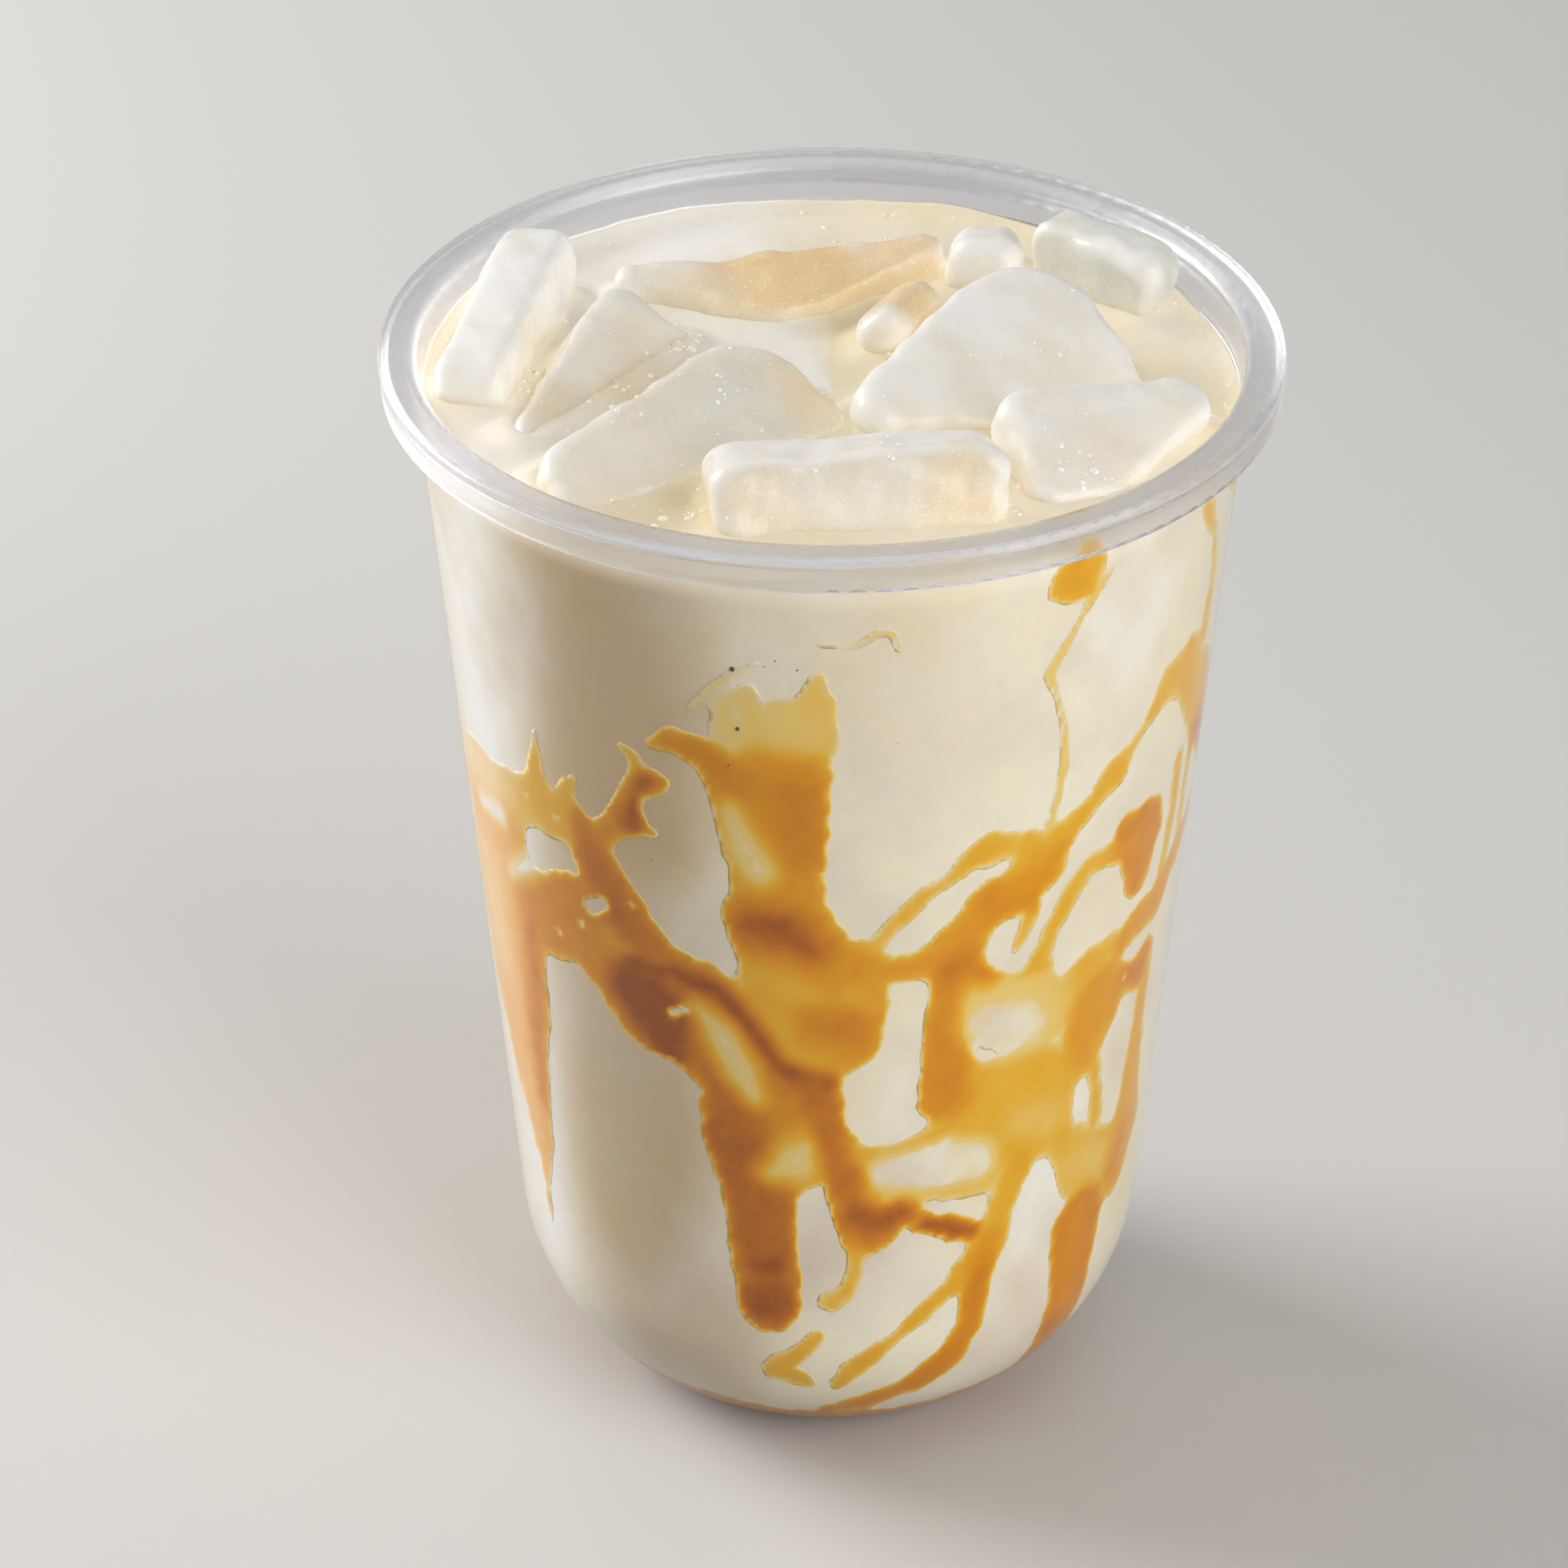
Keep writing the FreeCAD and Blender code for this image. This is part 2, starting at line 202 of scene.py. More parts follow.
def link(material, output, socket):
    material.node_tree.links.new(output, socket)


def noise(material, scale, detail=3.0, roughness=0.5, distortion=0.0):
    """Noise in object space; scale is the size of a feature in metres."""
    place = add(material, "ShaderNodeTexCoord")
    node = add(material, "ShaderNodeTexNoise")
    link(material, place.outputs["Object"], node.inputs["Vector"])
    node.inputs["Scale"].default_value = 1 / scale
    node.inputs["Detail"].default_value = detail
    node.inputs["Roughness"].default_value = roughness
    node.inputs["Distortion"].default_value = distortion
    return node.outputs["Fac"]


def painted(material, name):
    """The number that paint stored under this name."""
    return add(material, "ShaderNodeAttribute", attribute_name=name).outputs["Fac"]


def ramp(material, source, *stops):
    """Colour stops (place, (r, g, b)) over a 0 to 1 value."""
    node = add(material, "ShaderNodeValToRGB")
    elements = node.color_ramp.elements
    while len(elements) < len(stops):
        elements.new(0.5)
    for element, (place, colour) in zip(elements, stops):
        element.position = place
        element.color = (*colour, 1)
    link(material, source, node.inputs["Fac"])
    return node.outputs["Color"]


def maths(material, operation, first, second, clamp=False):
    """Combine two values, each an output or a plain number."""
    node = add(material, "ShaderNodeMath", operation=operation, use_clamp=clamp)
    for socket, value in zip(node.inputs, (first, second)):
        if isinstance(value, (int, float)):
            socket.default_value = value
        else:
            link(material, value, socket)
    return node.outputs["Value"]


def blend(material, share, first, second, kind="MIX"):
    """Mix two colours, each an output or plain (r, g, b)."""
    node = add(material, "ShaderNodeMix", data_type="RGBA", blend_type=kind)
    sockets = [s for s in node.inputs if s.enabled]
    for socket, value in zip(sockets, (share, first, second)):
        if isinstance(value, (int, float)):
            socket.default_value = value
        elif isinstance(value, tuple):
            socket.default_value = (*value, 1)
        else:
            link(material, value, socket)
    return [s for s in node.outputs if s.enabled][0]


def bumpy(material, shader, height, distance, strength=1.0):
    """Let a height from 0 to 1 tilt the surface, as if it were distance deep."""
    node = add(material, "ShaderNodeBump")
    node.inputs["Strength"].default_value = strength
    node.inputs["Distance"].default_value = distance
    link(material, height, node.inputs["Height"])
    link(material, node.outputs["Normal"], shader.inputs["Normal"])


def colour(hex_code):
    """A colour written as on screen, RRGGBB, as the linear values that a shader takes."""
    parts = [int(hex_code[at:at + 2], 16) / 255 for at in (0, 2, 4)]
    return tuple(p / 12.92 if p <= 0.04045 else ((p + 0.055) / 1.055) ** 2.4 for p in parts)


RIM_FROM = 118 * MM             # where the cup's bare rim begins, above the drink
RIM_BLEND = 2 * MM              # and how gradually its look changes there
WALL_TINT = (0.97, 0.98, 0.98)
# greyer rim: tint through its several surfaces, and a painted reflection of dark surroundings
RIM_TINT_AND_REFLECTION = (0.86, 0.86, 0.89)
WALL_SHADOW = (0.97, 0.97, 0.97)    # what the wall, and then the ice, lets through of a lamp
ICE_SHADOW = (0.72, 0.71, 0.68)
CREAM = colour("EBDAB0")
PALE_CREAM = colour("F1E6CA")
# white of paler milk, also laid on as the painted highlight of the key lamp
WHITE_MILK_AND_HIGHLIGHT = colour("F5F2EC")
# brown of less mixed coffee, also laid on as painted shade in the band between the two lamps
COFFEE_STAIN_AND_SHADE = colour("C6A67C")


def let_lamps_through(material, shader, tint):
    """Let the lamps' light pass, tinted, so that what lies behind is lit plainly."""
    output = material.node_tree.nodes["Material Output"]
    path = add(material, "ShaderNodeLightPath")
    through = add(material, "ShaderNodeBsdfTransparent")
    through.inputs["Color"].default_value = (*tint, 1)
    mix = add(material, "ShaderNodeMixShader")
    link(material, path.outputs["Is Shadow Ray"], mix.inputs[0])
    link(material, shader.outputs["BSDF"], mix.inputs[1])
    link(material, through.outputs["BSDF"], mix.inputs[2])
    link(material, mix.outputs["Shader"], output.inputs["Surface"])


def make_clear_plastic():
    """Clear moulding: its rim shines, and the wall, with the drink against it, hardly does."""
    material, shader = new_material("clear_plastic", IOR=1.49, Transmission_Weight=1.0)
    height = add(material, "ShaderNodeSeparateXYZ")
    place = add(material, "ShaderNodeNewGeometry")
    link(material, place.outputs["Position"], height.inputs["Vector"])
    above = maths(material, "SUBTRACT", height.outputs["Z"], RIM_FROM)
    rim = maths(material, "MULTIPLY", above, 1 / RIM_BLEND, clamp=True)
    link(material, maths(material, "MULTIPLY", rim, 0.5), shader.inputs["Specular IOR Level"])
    rough = maths(material, "ADD", maths(material, "MULTIPLY", rim, 0.16), 0.1)
    link(material, rough, shader.inputs["Roughness"])
    # greyer on the rim: tint through its several surfaces, and a painted reflection of dark
    # surroundings
    link(material, blend(material, rim, WALL_TINT, RIM_TINT_AND_REFLECTION), shader.inputs["Base Color"])
    swirl = noise(material, 22 * MM, detail=2.0)
    bumpy(material, shader, swirl, 0.08 * MM, 0.25)
    let_lamps_through(material, shader, WALL_SHADOW)
    return material


def milk_colour(material):
    """The drink's colour: paler and browner as its attributes say, with a fine grain; part of
    the brown is painted shade and part of the pale a painted highlight.
    """
    cloud = noise(material, 26 * MM, detail=3.0)
    body = ramp(material, cloud, (0.3, CREAM), (0.7, PALE_CREAM))
    # paler by the pale attribute: paler milk, and a painted highlight at the left edge and the
    # back
    paler = blend(material, painted(material, "pale"), body, WHITE_MILK_AND_HIGHLIGHT)
    # browner by the stain attribute: coffee, and painted shade between the lamps
    wash = blend(material, painted(material, "stain_and_shade"), paler, COFFEE_STAIN_AND_SHADE)
    fine = noise(material, 1.3 * MM, detail=4.0, roughness=0.6)
    grain = ramp(material, fine, (0.3, (0.96, 0.96, 0.955)), (0.7, (1, 1, 1)))
    return blend(material, 1.0, wash, grain, "MULTIPLY")


def make_milk():
    """Milky coffee, wet only where nothing covers it."""
    material, shader = new_material("milky_coffee", IOR=1.35, Specular_IOR_Level=0.3)
    link(material, milk_colour(material), shader.inputs["Base Color"])
    dry = maths(material, "SUBTRACT", 1.0, painted(material, "wet"))
    rough = maths(material, "ADD", maths(material, "MULTIPLY", dry, 0.62), 0.2)
    link(material, rough, shader.inputs["Roughness"])
    ripple = noise(material, 7 * MM, detail=3.0)
    bumpy(material, shader, ripple, 0.35 * MM, 0.4)
    return material


def make_caramel():
    """From the drink's own colour where there is none, through yellow and amber to brown; at the
    left, a painted peach glow of the key lamp.
    """
    material, shader = new_material("caramel_sauce", Roughness=0.5, IOR=1.45,
                                    Specular_IOR_Level=0.0)
    cloud = noise(material, 2.6 * MM, detail=4.0, roughness=0.6, distortion=0.6)
    drift = maths(material, "ADD", maths(material, "MULTIPLY", cloud, 0.3), 0.85)
    deep = maths(material, "MULTIPLY", painted(material, "deep"), drift, clamp=True)
    amber = ramp(material, deep, (0.0, colour("E6CC8C")), (0.14, colour("E9C66C")),
                 (0.30, colour("E5AC24")), (0.52, colour("DE9200")), (0.76, colour("C97300")),
                 (1.0, colour("9C4E00")))
    # peach tones: painted glow of the key lamp on the sauce at the left
    painted_key_light = ramp(material, deep, (0.0, colour("F6EADB")), (0.25, colour("F6CF92")),
                 (0.5, colour("EFA956")), (0.75, colour("E08A38")), (1.0, colour("BC6410")))
    sauce = blend(material, painted(material, "painted_key_light"), amber, painted_key_light)
    cover = maths(material, "MULTIPLY", deep, 14.0, clamp=True)
    link(material, blend(material, cover, milk_colour(material), sauce),
         shader.inputs["Base Color"])
    return material


def make_ice():
    """Cloudy ice, white along its edges with frost and a painted highlight, with milk over it
    near the waterline.
    """
    material, shader = new_material("cloudy_ice", IOR=1.31, Subsurface_Weight=0.35,
                                    Subsurface_Scale=3 * MM, Coat_Roughness=0.1,
                                    Subsurface_Radius=(1.0, 0.88, 0.7), Coat_Weight=0.3,
                                    Transmission_Weight=0.22)
    cloud = noise(material, 7 * MM, detail=4.0, roughness=0.55, distortion=0.3)
    body = ramp(material, cloud, (0.3, colour("EBE3D3")), (0.7, colour("F5F0E6")))
    tan = blend(material, painted(material, "tan"), body, colour("F1D29C"))
    # cool grey, partly painted shade
    cool_and_shade = blend(material, painted(material, "cool_and_shade"), tan, colour("D9DDD6"))
    # white where frosted, and along the ridges a painted highlight
    frost_and_highlight_tone = blend(material, painted(material, "frost_and_highlight"), cool_and_shade, colour("FAF9F6"))
    film = blend(material, painted(material, "film"), frost_and_highlight_tone, colour("F0E5CE"))
    flecks = noise(material, 0.3 * MM, detail=2.0)
    glint = ramp(material, flecks, (0.58, (0, 0, 0)), (0.7, (1, 1, 1)))
    share = maths(material, "MULTIPLY", glint, 0.55)
    link(material, blend(material, share, film, colour("FEFDFA")), shader.inputs["Base Color"])
    frost_and_highlight = painted(material, "frost_and_highlight")
    dull = maths(material, "ADD", maths(material, "MULTIPLY", frost_and_highlight, 0.22), 0.24)
    link(material, dull, shader.inputs["Roughness"])
    crust = noise(material, 0.45 * MM, detail=4.0, roughness=0.65)
    bumpy(material, shader, crust, 0.12 * MM, 0.7)
    let_lamps_through(material, shader, ICE_SHADOW)
    return material


def make_grain(name, fine_size, darker, paler, **sockets):
    """What small scattered grains are made of, in two mottled tones."""
    material, shader = new_material(name, **sockets)
    fine = noise(material, fine_size)
    link(material, ramp(material, fine, (0.3, colour(darker)), (0.7, colour(paler))),
         shader.inputs["Base Color"])
    return material


CLEAR = make_clear_plastic()
MILK = make_milk()
CARAMEL = make_caramel()
ICE = make_ice()
BUBBLE = make_grain("foam_bubble", 0.6 * MM, "F2E6CB", "FBF6EA",
                    Roughness=0.12, IOR=1.33, Coat_Weight=0.4)
BEAD = make_grain("ice_bead", 0.3 * MM, "F4F1EA", "FEFDFB",
                  Roughness=0.08, IOR=1.31, Coat_Weight=0.6)
SPECK = make_grain("coffee_speck", 0.1 * MM, "2A1A10", "5A3A20", Roughness=0.6)


# ---------------------------------------------------------------------------------- ice

ICE_VOXEL = 0.42 * MM           # pitch of the lumps' even meshes

# How frosted each lump is: (all over, and how much more where it faces up).
FROST = {
    "ice_front": (0.10, 0.75), "ice_left_front": (0.04, 0.04), "ice_right_front": (0.35, 0.2),
    "ice_middle_right": (0.6, 0.25), "ice_right_back": (0.15, 0.3),
    "ice_far_back": (0.55, 0.4), "ice_back": (0.0, 0.0), "ice_left_middle": (0.3, 0.2),
    "ice_small": (0.1, 0.0), "ice_left": (0.85, 0.3),
}

# The tan and the cool grey tints on them, the grey partly painted shade on faces turned from the
# key lamp: (x, y, radius, strength), in mm.
TAN = {
    "ice_front": [(13, -31, 5, 0.5), (-9, -33, 6, 0.2)],
    "ice_left_front": [(-2, -6, 6, 0.55), (-20, -12, 9, 0.15)],
    "ice_right_front": [(30, -22, 6, 0.15)],
    "ice_middle_right": [(24, -4, 6, 0.2)],
    "ice_back": [(-4, 20, 13, 0.9), (8, 23, 7, 0.7)],
    "ice_left_middle": [(-27, -8, 8, 0.5), (-20, 6, 4, 0.3)],
    "ice_small": [(9, 12, 6, 0.8)],
    "ice_left": [(-31, 6, 5, 0.35)],
}
# cool grey: on ice_left_front and ice_middle_right painted shade of faces turned from the key
# lamp
COOL_AND_SHADE = {
    "ice_left_front": [(-12, -12, 9, 0.5)],
    "ice_middle_right": [(16, -3, 8, 0.4)],
    "ice_right_back": [(30, 16, 14, 0.9)],
    "ice_far_back": [(16, 20, 8, 0.5)],
}


def tinted(points, spots, ragged):
    """How strongly the spots of a table tint each point, with ragged edges."""
    tint = np.zeros(len(points))
    for x, y, radius, strength in spots:
        away = np.hypot(points[:, 0] / MM - x, points[:, 1] / MM - y) / radius
        tint = np.maximum(tint, strength * (1 - smooth_step(0.3, 1.2, away + ragged)))
    return tint


def smoothed(points, edges, rounds):
    """Positions after each vertex has been drawn to its neighbours' middle a few times."""
    count = np.bincount(edges.ravel(), minlength=len(points))[:, None]
    for _ in range(rounds):
        sums = np.zeros_like(points)
        np.add.at(sums, edges[:, 0], points[edges[:, 1]])
        np.add.at(sums, edges[:, 1], points[edges[:, 0]])
        points = points + 0.5 * (sums / count - points)
    return points


def remeshed(name):
    """An even mesh of the CAD lump, as a new piece."""
    piece = bpy.data.objects.new(f"{name}_melted", nodes[name].data.copy())
    bpy.context.scene.collection.objects.link(piece)
    remesh = piece.modifiers.new("remesh", "REMESH")
    remesh.mode = "VOXEL"
    remesh.voxel_size = ICE_VOXEL
    melted = bpy.data.meshes.new_from_object(
        piece.evaluated_get(bpy.context.evaluated_depsgraph_get()))
    piece.modifiers.clear()
    piece.data = melted
    melted.name = piece.name
    return piece


def make_lump(name, seed):
    """Melt the CAD lump: remesh it, wear its faces unevenly and paint what covers it."""
    piece = remeshed(name)
    melted = piece.data
    edges = np.empty(len(melted.edges) * 2, dtype=int)
    melted.edges.foreach_get("vertices", edges)
    edges = edges.reshape(-1, 2)
    points = smoothed(vertex_array(melted), edges, 2)
    melted.vertices.foreach_set("co", points.ravel())
    melted.update()
    normals = vertex_array(melted, "normal")
    wear = (0.5 * rough_waves(points, 15 * MM, seed)
            + 0.09 * rough_waves(points, 4 * MM, seed + 1) - 0.1) * MM
    points = points + normals * wear[:, None]
    melted.vertices.foreach_set("co", points.ravel())
    melted.polygons.foreach_set("use_smooth", [True] * len(melted.polygons))
    melted.update()
    paint_lump(piece, name, seed, points, edges)
    return dress(piece, ICE, [name])


def paint_lump(piece, name, seed, points, edges):
    """Store how frosted, tan, cool and milky a lump is; its ridges are whitest, with frost and a
    painted highlight, and its cool grey is partly painted shade.
    """
    normals = vertex_array(piece.data, "normal")
    ridge = np.einsum("ij,ij->i", normals, points - smoothed(points, edges, 30)) / MM
    ridge = smoothed(ridge[:, None], edges, 2)[:, 0]
    patches = rough_waves(points, 9 * MM, seed + 2)
    fine = rough_waves(points, 2.5 * MM, seed + 3)
    all_over, facing_up = FROST[name]
    # whiter along the ridges: frost, and a painted highlight along the edges
    frost_and_highlight = all_over * (1 + 0.7 * patches) + 0.9 * smooth_step(0.12, 0.4, ridge)
    frost_and_highlight += facing_up * smooth_step(0.6, 0.9, normals[:, 2]) * (1 + 0.3 * patches)
    tan = tinted(points, TAN.get(name, ()), 0.25 * patches)
    cool_and_shade = tinted(points, COOL_AND_SHADE.get(name, ()), 0.25 * patches)
    above = (points[:, 2] - MILK_TOP) / MM
    film = 1 - smooth_step(0.4, 2.6, above + 0.8 * patches + 0.3 * fine)
    paint(piece, "frost_and_highlight", np.clip(frost_and_highlight * (1 - 0.85 * tan), 0, 1))
    paint(piece, "tan", np.clip(tan, 0, 1))
    paint(piece, "cool_and_shade", np.clip(cool_and_shade, 0, 1))
    paint(piece, "film", film)


lumps = [make_lump(name, 100 * (index + 1)) for index, name in enumerate(LUMPS)]


def tree_of(pieces):
    """One search tree over the faces of several pieces."""
    points, faces = [], []
    for piece in pieces:
        start = len(points)
        points += [v.co.copy() for v in piece.data.vertices]
        faces += [[start + v for v in p.vertices] for p in piece.data.polygons]
    return BVHTree.FromPolygons(points, faces)


ICE_TREE = tree_of(lumps)


# ---------------------------------------------------------------- the drink and the pool

# Where coffee and milk have mixed less, and, in the patches at azimuth -34 and -36, painted
# shade of the band between the two lamps: (azimuth, height, degrees wide, mm tall, strength).
COFFEE_AND_SHADE_PATCHES = [(-34, 100, 23, 40, 0.85), (-36, 50, 22, 60, 0.7), (4, 108, 20, 22, 0.2),
                  (-24, 20, 20, 16, 0.55), (150, 70, 50, 60, 0.6), (-110, 60, 44, 130, 0.65)]
# Paler patches: paler milk, and at azimuth -66 and at the back left of the top a painted
# highlight of the key lamp: (azimuth, height, degrees wide, mm tall, strength).
PALE_AND_HIGHLIGHT_PATCHES = [(-66, 60, 20, 90, 1.0), (-140, 119, 50, 30, 0.9), (42, 36, 14, 26, 0.7),
                (16, 50, 12, 24, 0.4), (46, 108, 16, 16, 0.5), (28, 18, 12, 8, 0.5),
                (-66, 105, 20, 40, 0.8)]


def pool_line(points):
    """Height where sauce and drink meet, wavier towards the wall."""
    azimuth = np.arctan2(points[:, 1], points[:, 0])
    around = np.stack([np.cos(azimuth), np.sin(azimuth)], -1)
    outwards = np.hypot(points[:, 0], points[:, 1]) / inside_radius(POOL_TOP)
    wave = 0.7 * rough_waves(around, 1.1, 7) + 0.2
    return POOL_TOP + wave * MM * outwards ** 3


def milk_surface(points):
    """Height of the drink's top: curled up at the wall and round the ice, a little uneven."""
    radius = np.hypot(points[:, 0], points[:, 1])
    azimuth = np.arctan2(points[:, 1], points[:, 0])
    around = np.stack([np.cos(azimuth), np.sin(azimuth)], -1)
    to_wall = inside_radius(MILK_TOP) - radius
    climb = MILK_CREEP * (1 + 0.7 * rough_waves(around, 1.3, 11))
    back_left = smooth_step(0.2, 0.9, -points[:, 0] / radius.clip(MM) * 0.7
                            + points[:, 1] / radius.clip(MM) * 0.7)
    climb = climb + 0.9 * MM * back_left
    height = MILK_TOP + climb * np.exp(-to_wall.clip(0) / (1.3 * MM))
    height += 0.18 * MM * rough_waves(points[:, :2], 14 * MM, 12)
    for index, point in enumerate(points):
        start = Vector((point[0], point[1], MILK_TOP))
        place, normal, face, distance = ICE_TREE.find_nearest(start)
        height[index] += 1.1 * MM * math.exp(-(distance / (1.7 * MM)) ** 2)
    return height


def laid_patches(azimuth, height, table, ragged):
    """The strongest of a table's soft patches at each point of the wall."""
    share = np.zeros(len(azimuth))
    for middle, level, wide, tall, strength in table:
        away = np.hypot((azimuth - middle) / wide, (height - level) / tall)
        share = np.maximum(share, strength * (1 - smooth_step(0.3, 1.1, away + ragged)))
    return share


def paint_milk(piece):
    """Store how brown, how white and how wet the drink is at each vertex; the brown holds
    painted shade and the white a painted highlight.
    """
    points = vertex_array(piece.data)
    patches = 0.3 * rough_waves(points, 26 * MM, 21) + 0.1 * rough_waves(points, 8 * MM, 22)
    azimuth = np.degrees(np.arctan2(points[:, 0], -points[:, 1]))
    height = points[:, 2] / MM
    from_wall = (inside_radius(points[:, 2]) - np.hypot(points[:, 0], points[:, 1])) / MM
    on_side = 1 - smooth_step(1, 4, from_wall)
    on_side *= 1 - smooth_step(MILK_TOP / MM - 1, MILK_TOP / MM + 1, height)
    # browner patches: coffee, and at azimuth -34 and -36 painted shade
    brown = laid_patches(azimuth, height, COFFEE_AND_SHADE_PATCHES, 0.3 * patches)
    # paler patches: milk, and the painted highlight of the key lamp at the left
    white = laid_patches(azimuth, height, PALE_AND_HIGHLIGHT_PATCHES, 0.3 * patches)
    paint(piece, "stain_and_shade", np.clip(np.maximum(0.1 + patches, brown)
                                  * (0.25 + 0.75 * on_side), 0, 1))
    paint(piece, "pale", np.clip(np.maximum(0.3 + patches, white), 0, 1))
    paint(piece, "wet", 1 - on_side)


def make_milky_coffee():
    """Stands on the sauce, reaches a little into the wall and is uneven on top."""
    wall_heights = np.arange(POOL_TOP, MILK_TOP - MM, 1.5 * MM)
    bottom = []
    for share in np.linspace(0.05, 0.97, 14):
        loop = ring(inside_radius(POOL_TOP) * share, POOL_TOP)
        loop[:, 2] = pool_line(loop) - 0.05 * MM
        bottom.append(loop)
    edge = ring(inside_radius(POOL_TOP) + BITE, POOL_TOP)
    line = pool_line(edge)
    sides = []
    for height in wall_heights:
        loop_height = np.maximum(height, line + (height - POOL_TOP) * 0.9)
        sides.append(ring(inside_radius(loop_height) + BITE, loop_height))
    full = inside_radius(MILK_TOP)
    edge_height = milk_surface(ring(full, MILK_TOP))
    sides.append(ring(inside_radius(edge_height) + BITE, edge_height))
    top = []
    steps = np.concatenate([np.arange(0.05, 2, 0.3), np.arange(2, full / MM - 0.4, 0.55)])
    for inwards in steps * MM:
        loop = ring(full - inwards, MILK_TOP)
        loop[:, 2] = milk_surface(loop)
        top.append(loop)
    piece = turned_piece("milky_coffee", bottom + sides + top, MILK, ["latte"])
    paint_milk(piece)


def make_sauce_on_floor():
    """Reaches a little into the floor and the shoulder; its top meets the drink."""
    low = FLOOR - BITE
    bottom = [ring(inside_radius(FLOOR) * share, low) for share in np.linspace(0.1, 1, 10)]
    edge = ring(inside_radius(POOL_TOP), POOL_TOP)
    line = pool_line(edge)
    sides = []
    for share in np.linspace(0, 1, 6):
        height = FLOOR + (line - FLOOR) * share
        sides.append(ring(inside_radius(height) + BITE, height))
    top = []
    for share in np.linspace(0.97, 0.05, 14):
        loop = ring(inside_radius(POOL_TOP) * share, POOL_TOP)
        loop[:, 2] = pool_line(loop)
        top.append(loop)
    piece = turned_piece("sauce_on_floor", bottom + sides + top, CARAMEL,
                         ["caramel_pool"])
    points = vertex_array(piece.data)
    paint(piece, "deep", 0.72 + 0.2 * rough_waves(points, 9 * MM, 31))
    paint(piece, "painted_key_light", np.zeros(len(points)))
    paint_milk(piece)


make_milky_coffee()
make_sauce_on_floor()


# ------------------------------------------------------ bubbles, beads and specks

# Foam at the wall: (azimuth, spread in degrees, bubbles); elsewhere: (x, y, spread, bubbles).
FOAM_AT_WALL = [(-20, 22, 60), (25, 25, 60), (-70, 12, 45), (-110, 14, 30), (80, 16, 30),
                (170, 50, 50)]
FOAM_PATCHES = [(-16.5, 9, 1.6, 45), (-24, -3, 2.5, 25), (-33, 2, 2, 50), (-31, 13, 2, 25),
                (-14, -26, 2.5, 25), (18, -27, 2, 20), (9, 5, 2.5, 18), (24, 14, 2.5, 15),
                (5, 33, 4, 15)]
# Clusters of larger beads on the ice: (x, y, spread in mm, beads).
BEAD_CLUSTERS = [(24, -23, 1.6, 20), (28, -26, 1.8, 16), (-12, -9, 3, 12), (-22, -16, 1.5, 10),
                 (2, -30, 6, 16), (-18, 5, 2, 12), (20, 4, 5, 8)]
# Specks of coffee on the wall: (azimuth, height, radius in mm).
SPECKS = [(-14, 108, 0.3), (-13.5, 100.7, 0.26), (-15, 96, 0.16), (-11.5, 95, 0.14),
          (-5, 108.5, 0.14), (-8, 109.5, 0.13), (-9.5, 108.7, 0.12), (9, 99.3, 0.1),
          (-28, 82, 0.12), (150, 90, 0.2), (205, 104, 0.25)]


def scatter(name, spots, sizes, material, seed, squash=1.0):
    """One mesh of many small rounded grains, each a little out of round."""
    rng = np.random.default_rng(seed)
    ball = bmesh.new()
    bmesh.ops.create_icosphere(ball, subdivisions=2, radius=1)
    shell = np.array([vertex.co[:] for vertex in ball.verts])
    corners = [[vertex.index for vertex in face.verts] for face in ball.faces]
    ball.free()
    points, faces = [], []
    for spot, size in zip(spots, sizes):
        stretch = 1 + rng.uniform(-0.15, 0.15, 3)
        stretch[2] *= squash
        start = len(points)
        points += list(spot + shell * size * stretch)
        faces += [[start + corner for corner in face] for face in corners]
    return new_piece(name, points, faces, material)


def make_foam():
    """Bubbles that gather where the drink meets the wall and the ice."""
    rng = np.random.default_rng(71)
    spots, sizes = [], []
    edge = inside_radius(MILK_TOP) / MM
    for azimuth, spread, count in FOAM_AT_WALL:
        for _ in range(count):
            angle = math.radians(azimuth + rng.normal() * spread)
            radius = edge - 0.5 - abs(rng.normal()) * 0.8
            spots.append((radius * math.sin(angle), -radius * math.cos(angle)))
            sizes.append(0.14 + 0.22 * rng.random() ** 3)
    for x, y, spread, count in FOAM_PATCHES:
        for _ in range(count):
            spots.append((x + rng.normal() * spread, y + rng.normal() * spread))
            sizes.append(0.16 + 0.42 * rng.random() ** 3)
    spots = np.array([(x, y, 0) for x, y in spots]) * MM
    sizes = np.array(sizes) * MM
    reach = np.hypot(spots[:, 0], spots[:, 1])
    inside = reach < inside_radius(MILK_TOP) - sizes
    spots, sizes = spots[inside], sizes[inside]
    spots[:, 2] = milk_surface(spots) - 0.25 * sizes
    return scatter("foam_bubbles", spots, sizes, BUBBLE, 72, squash=0.8)


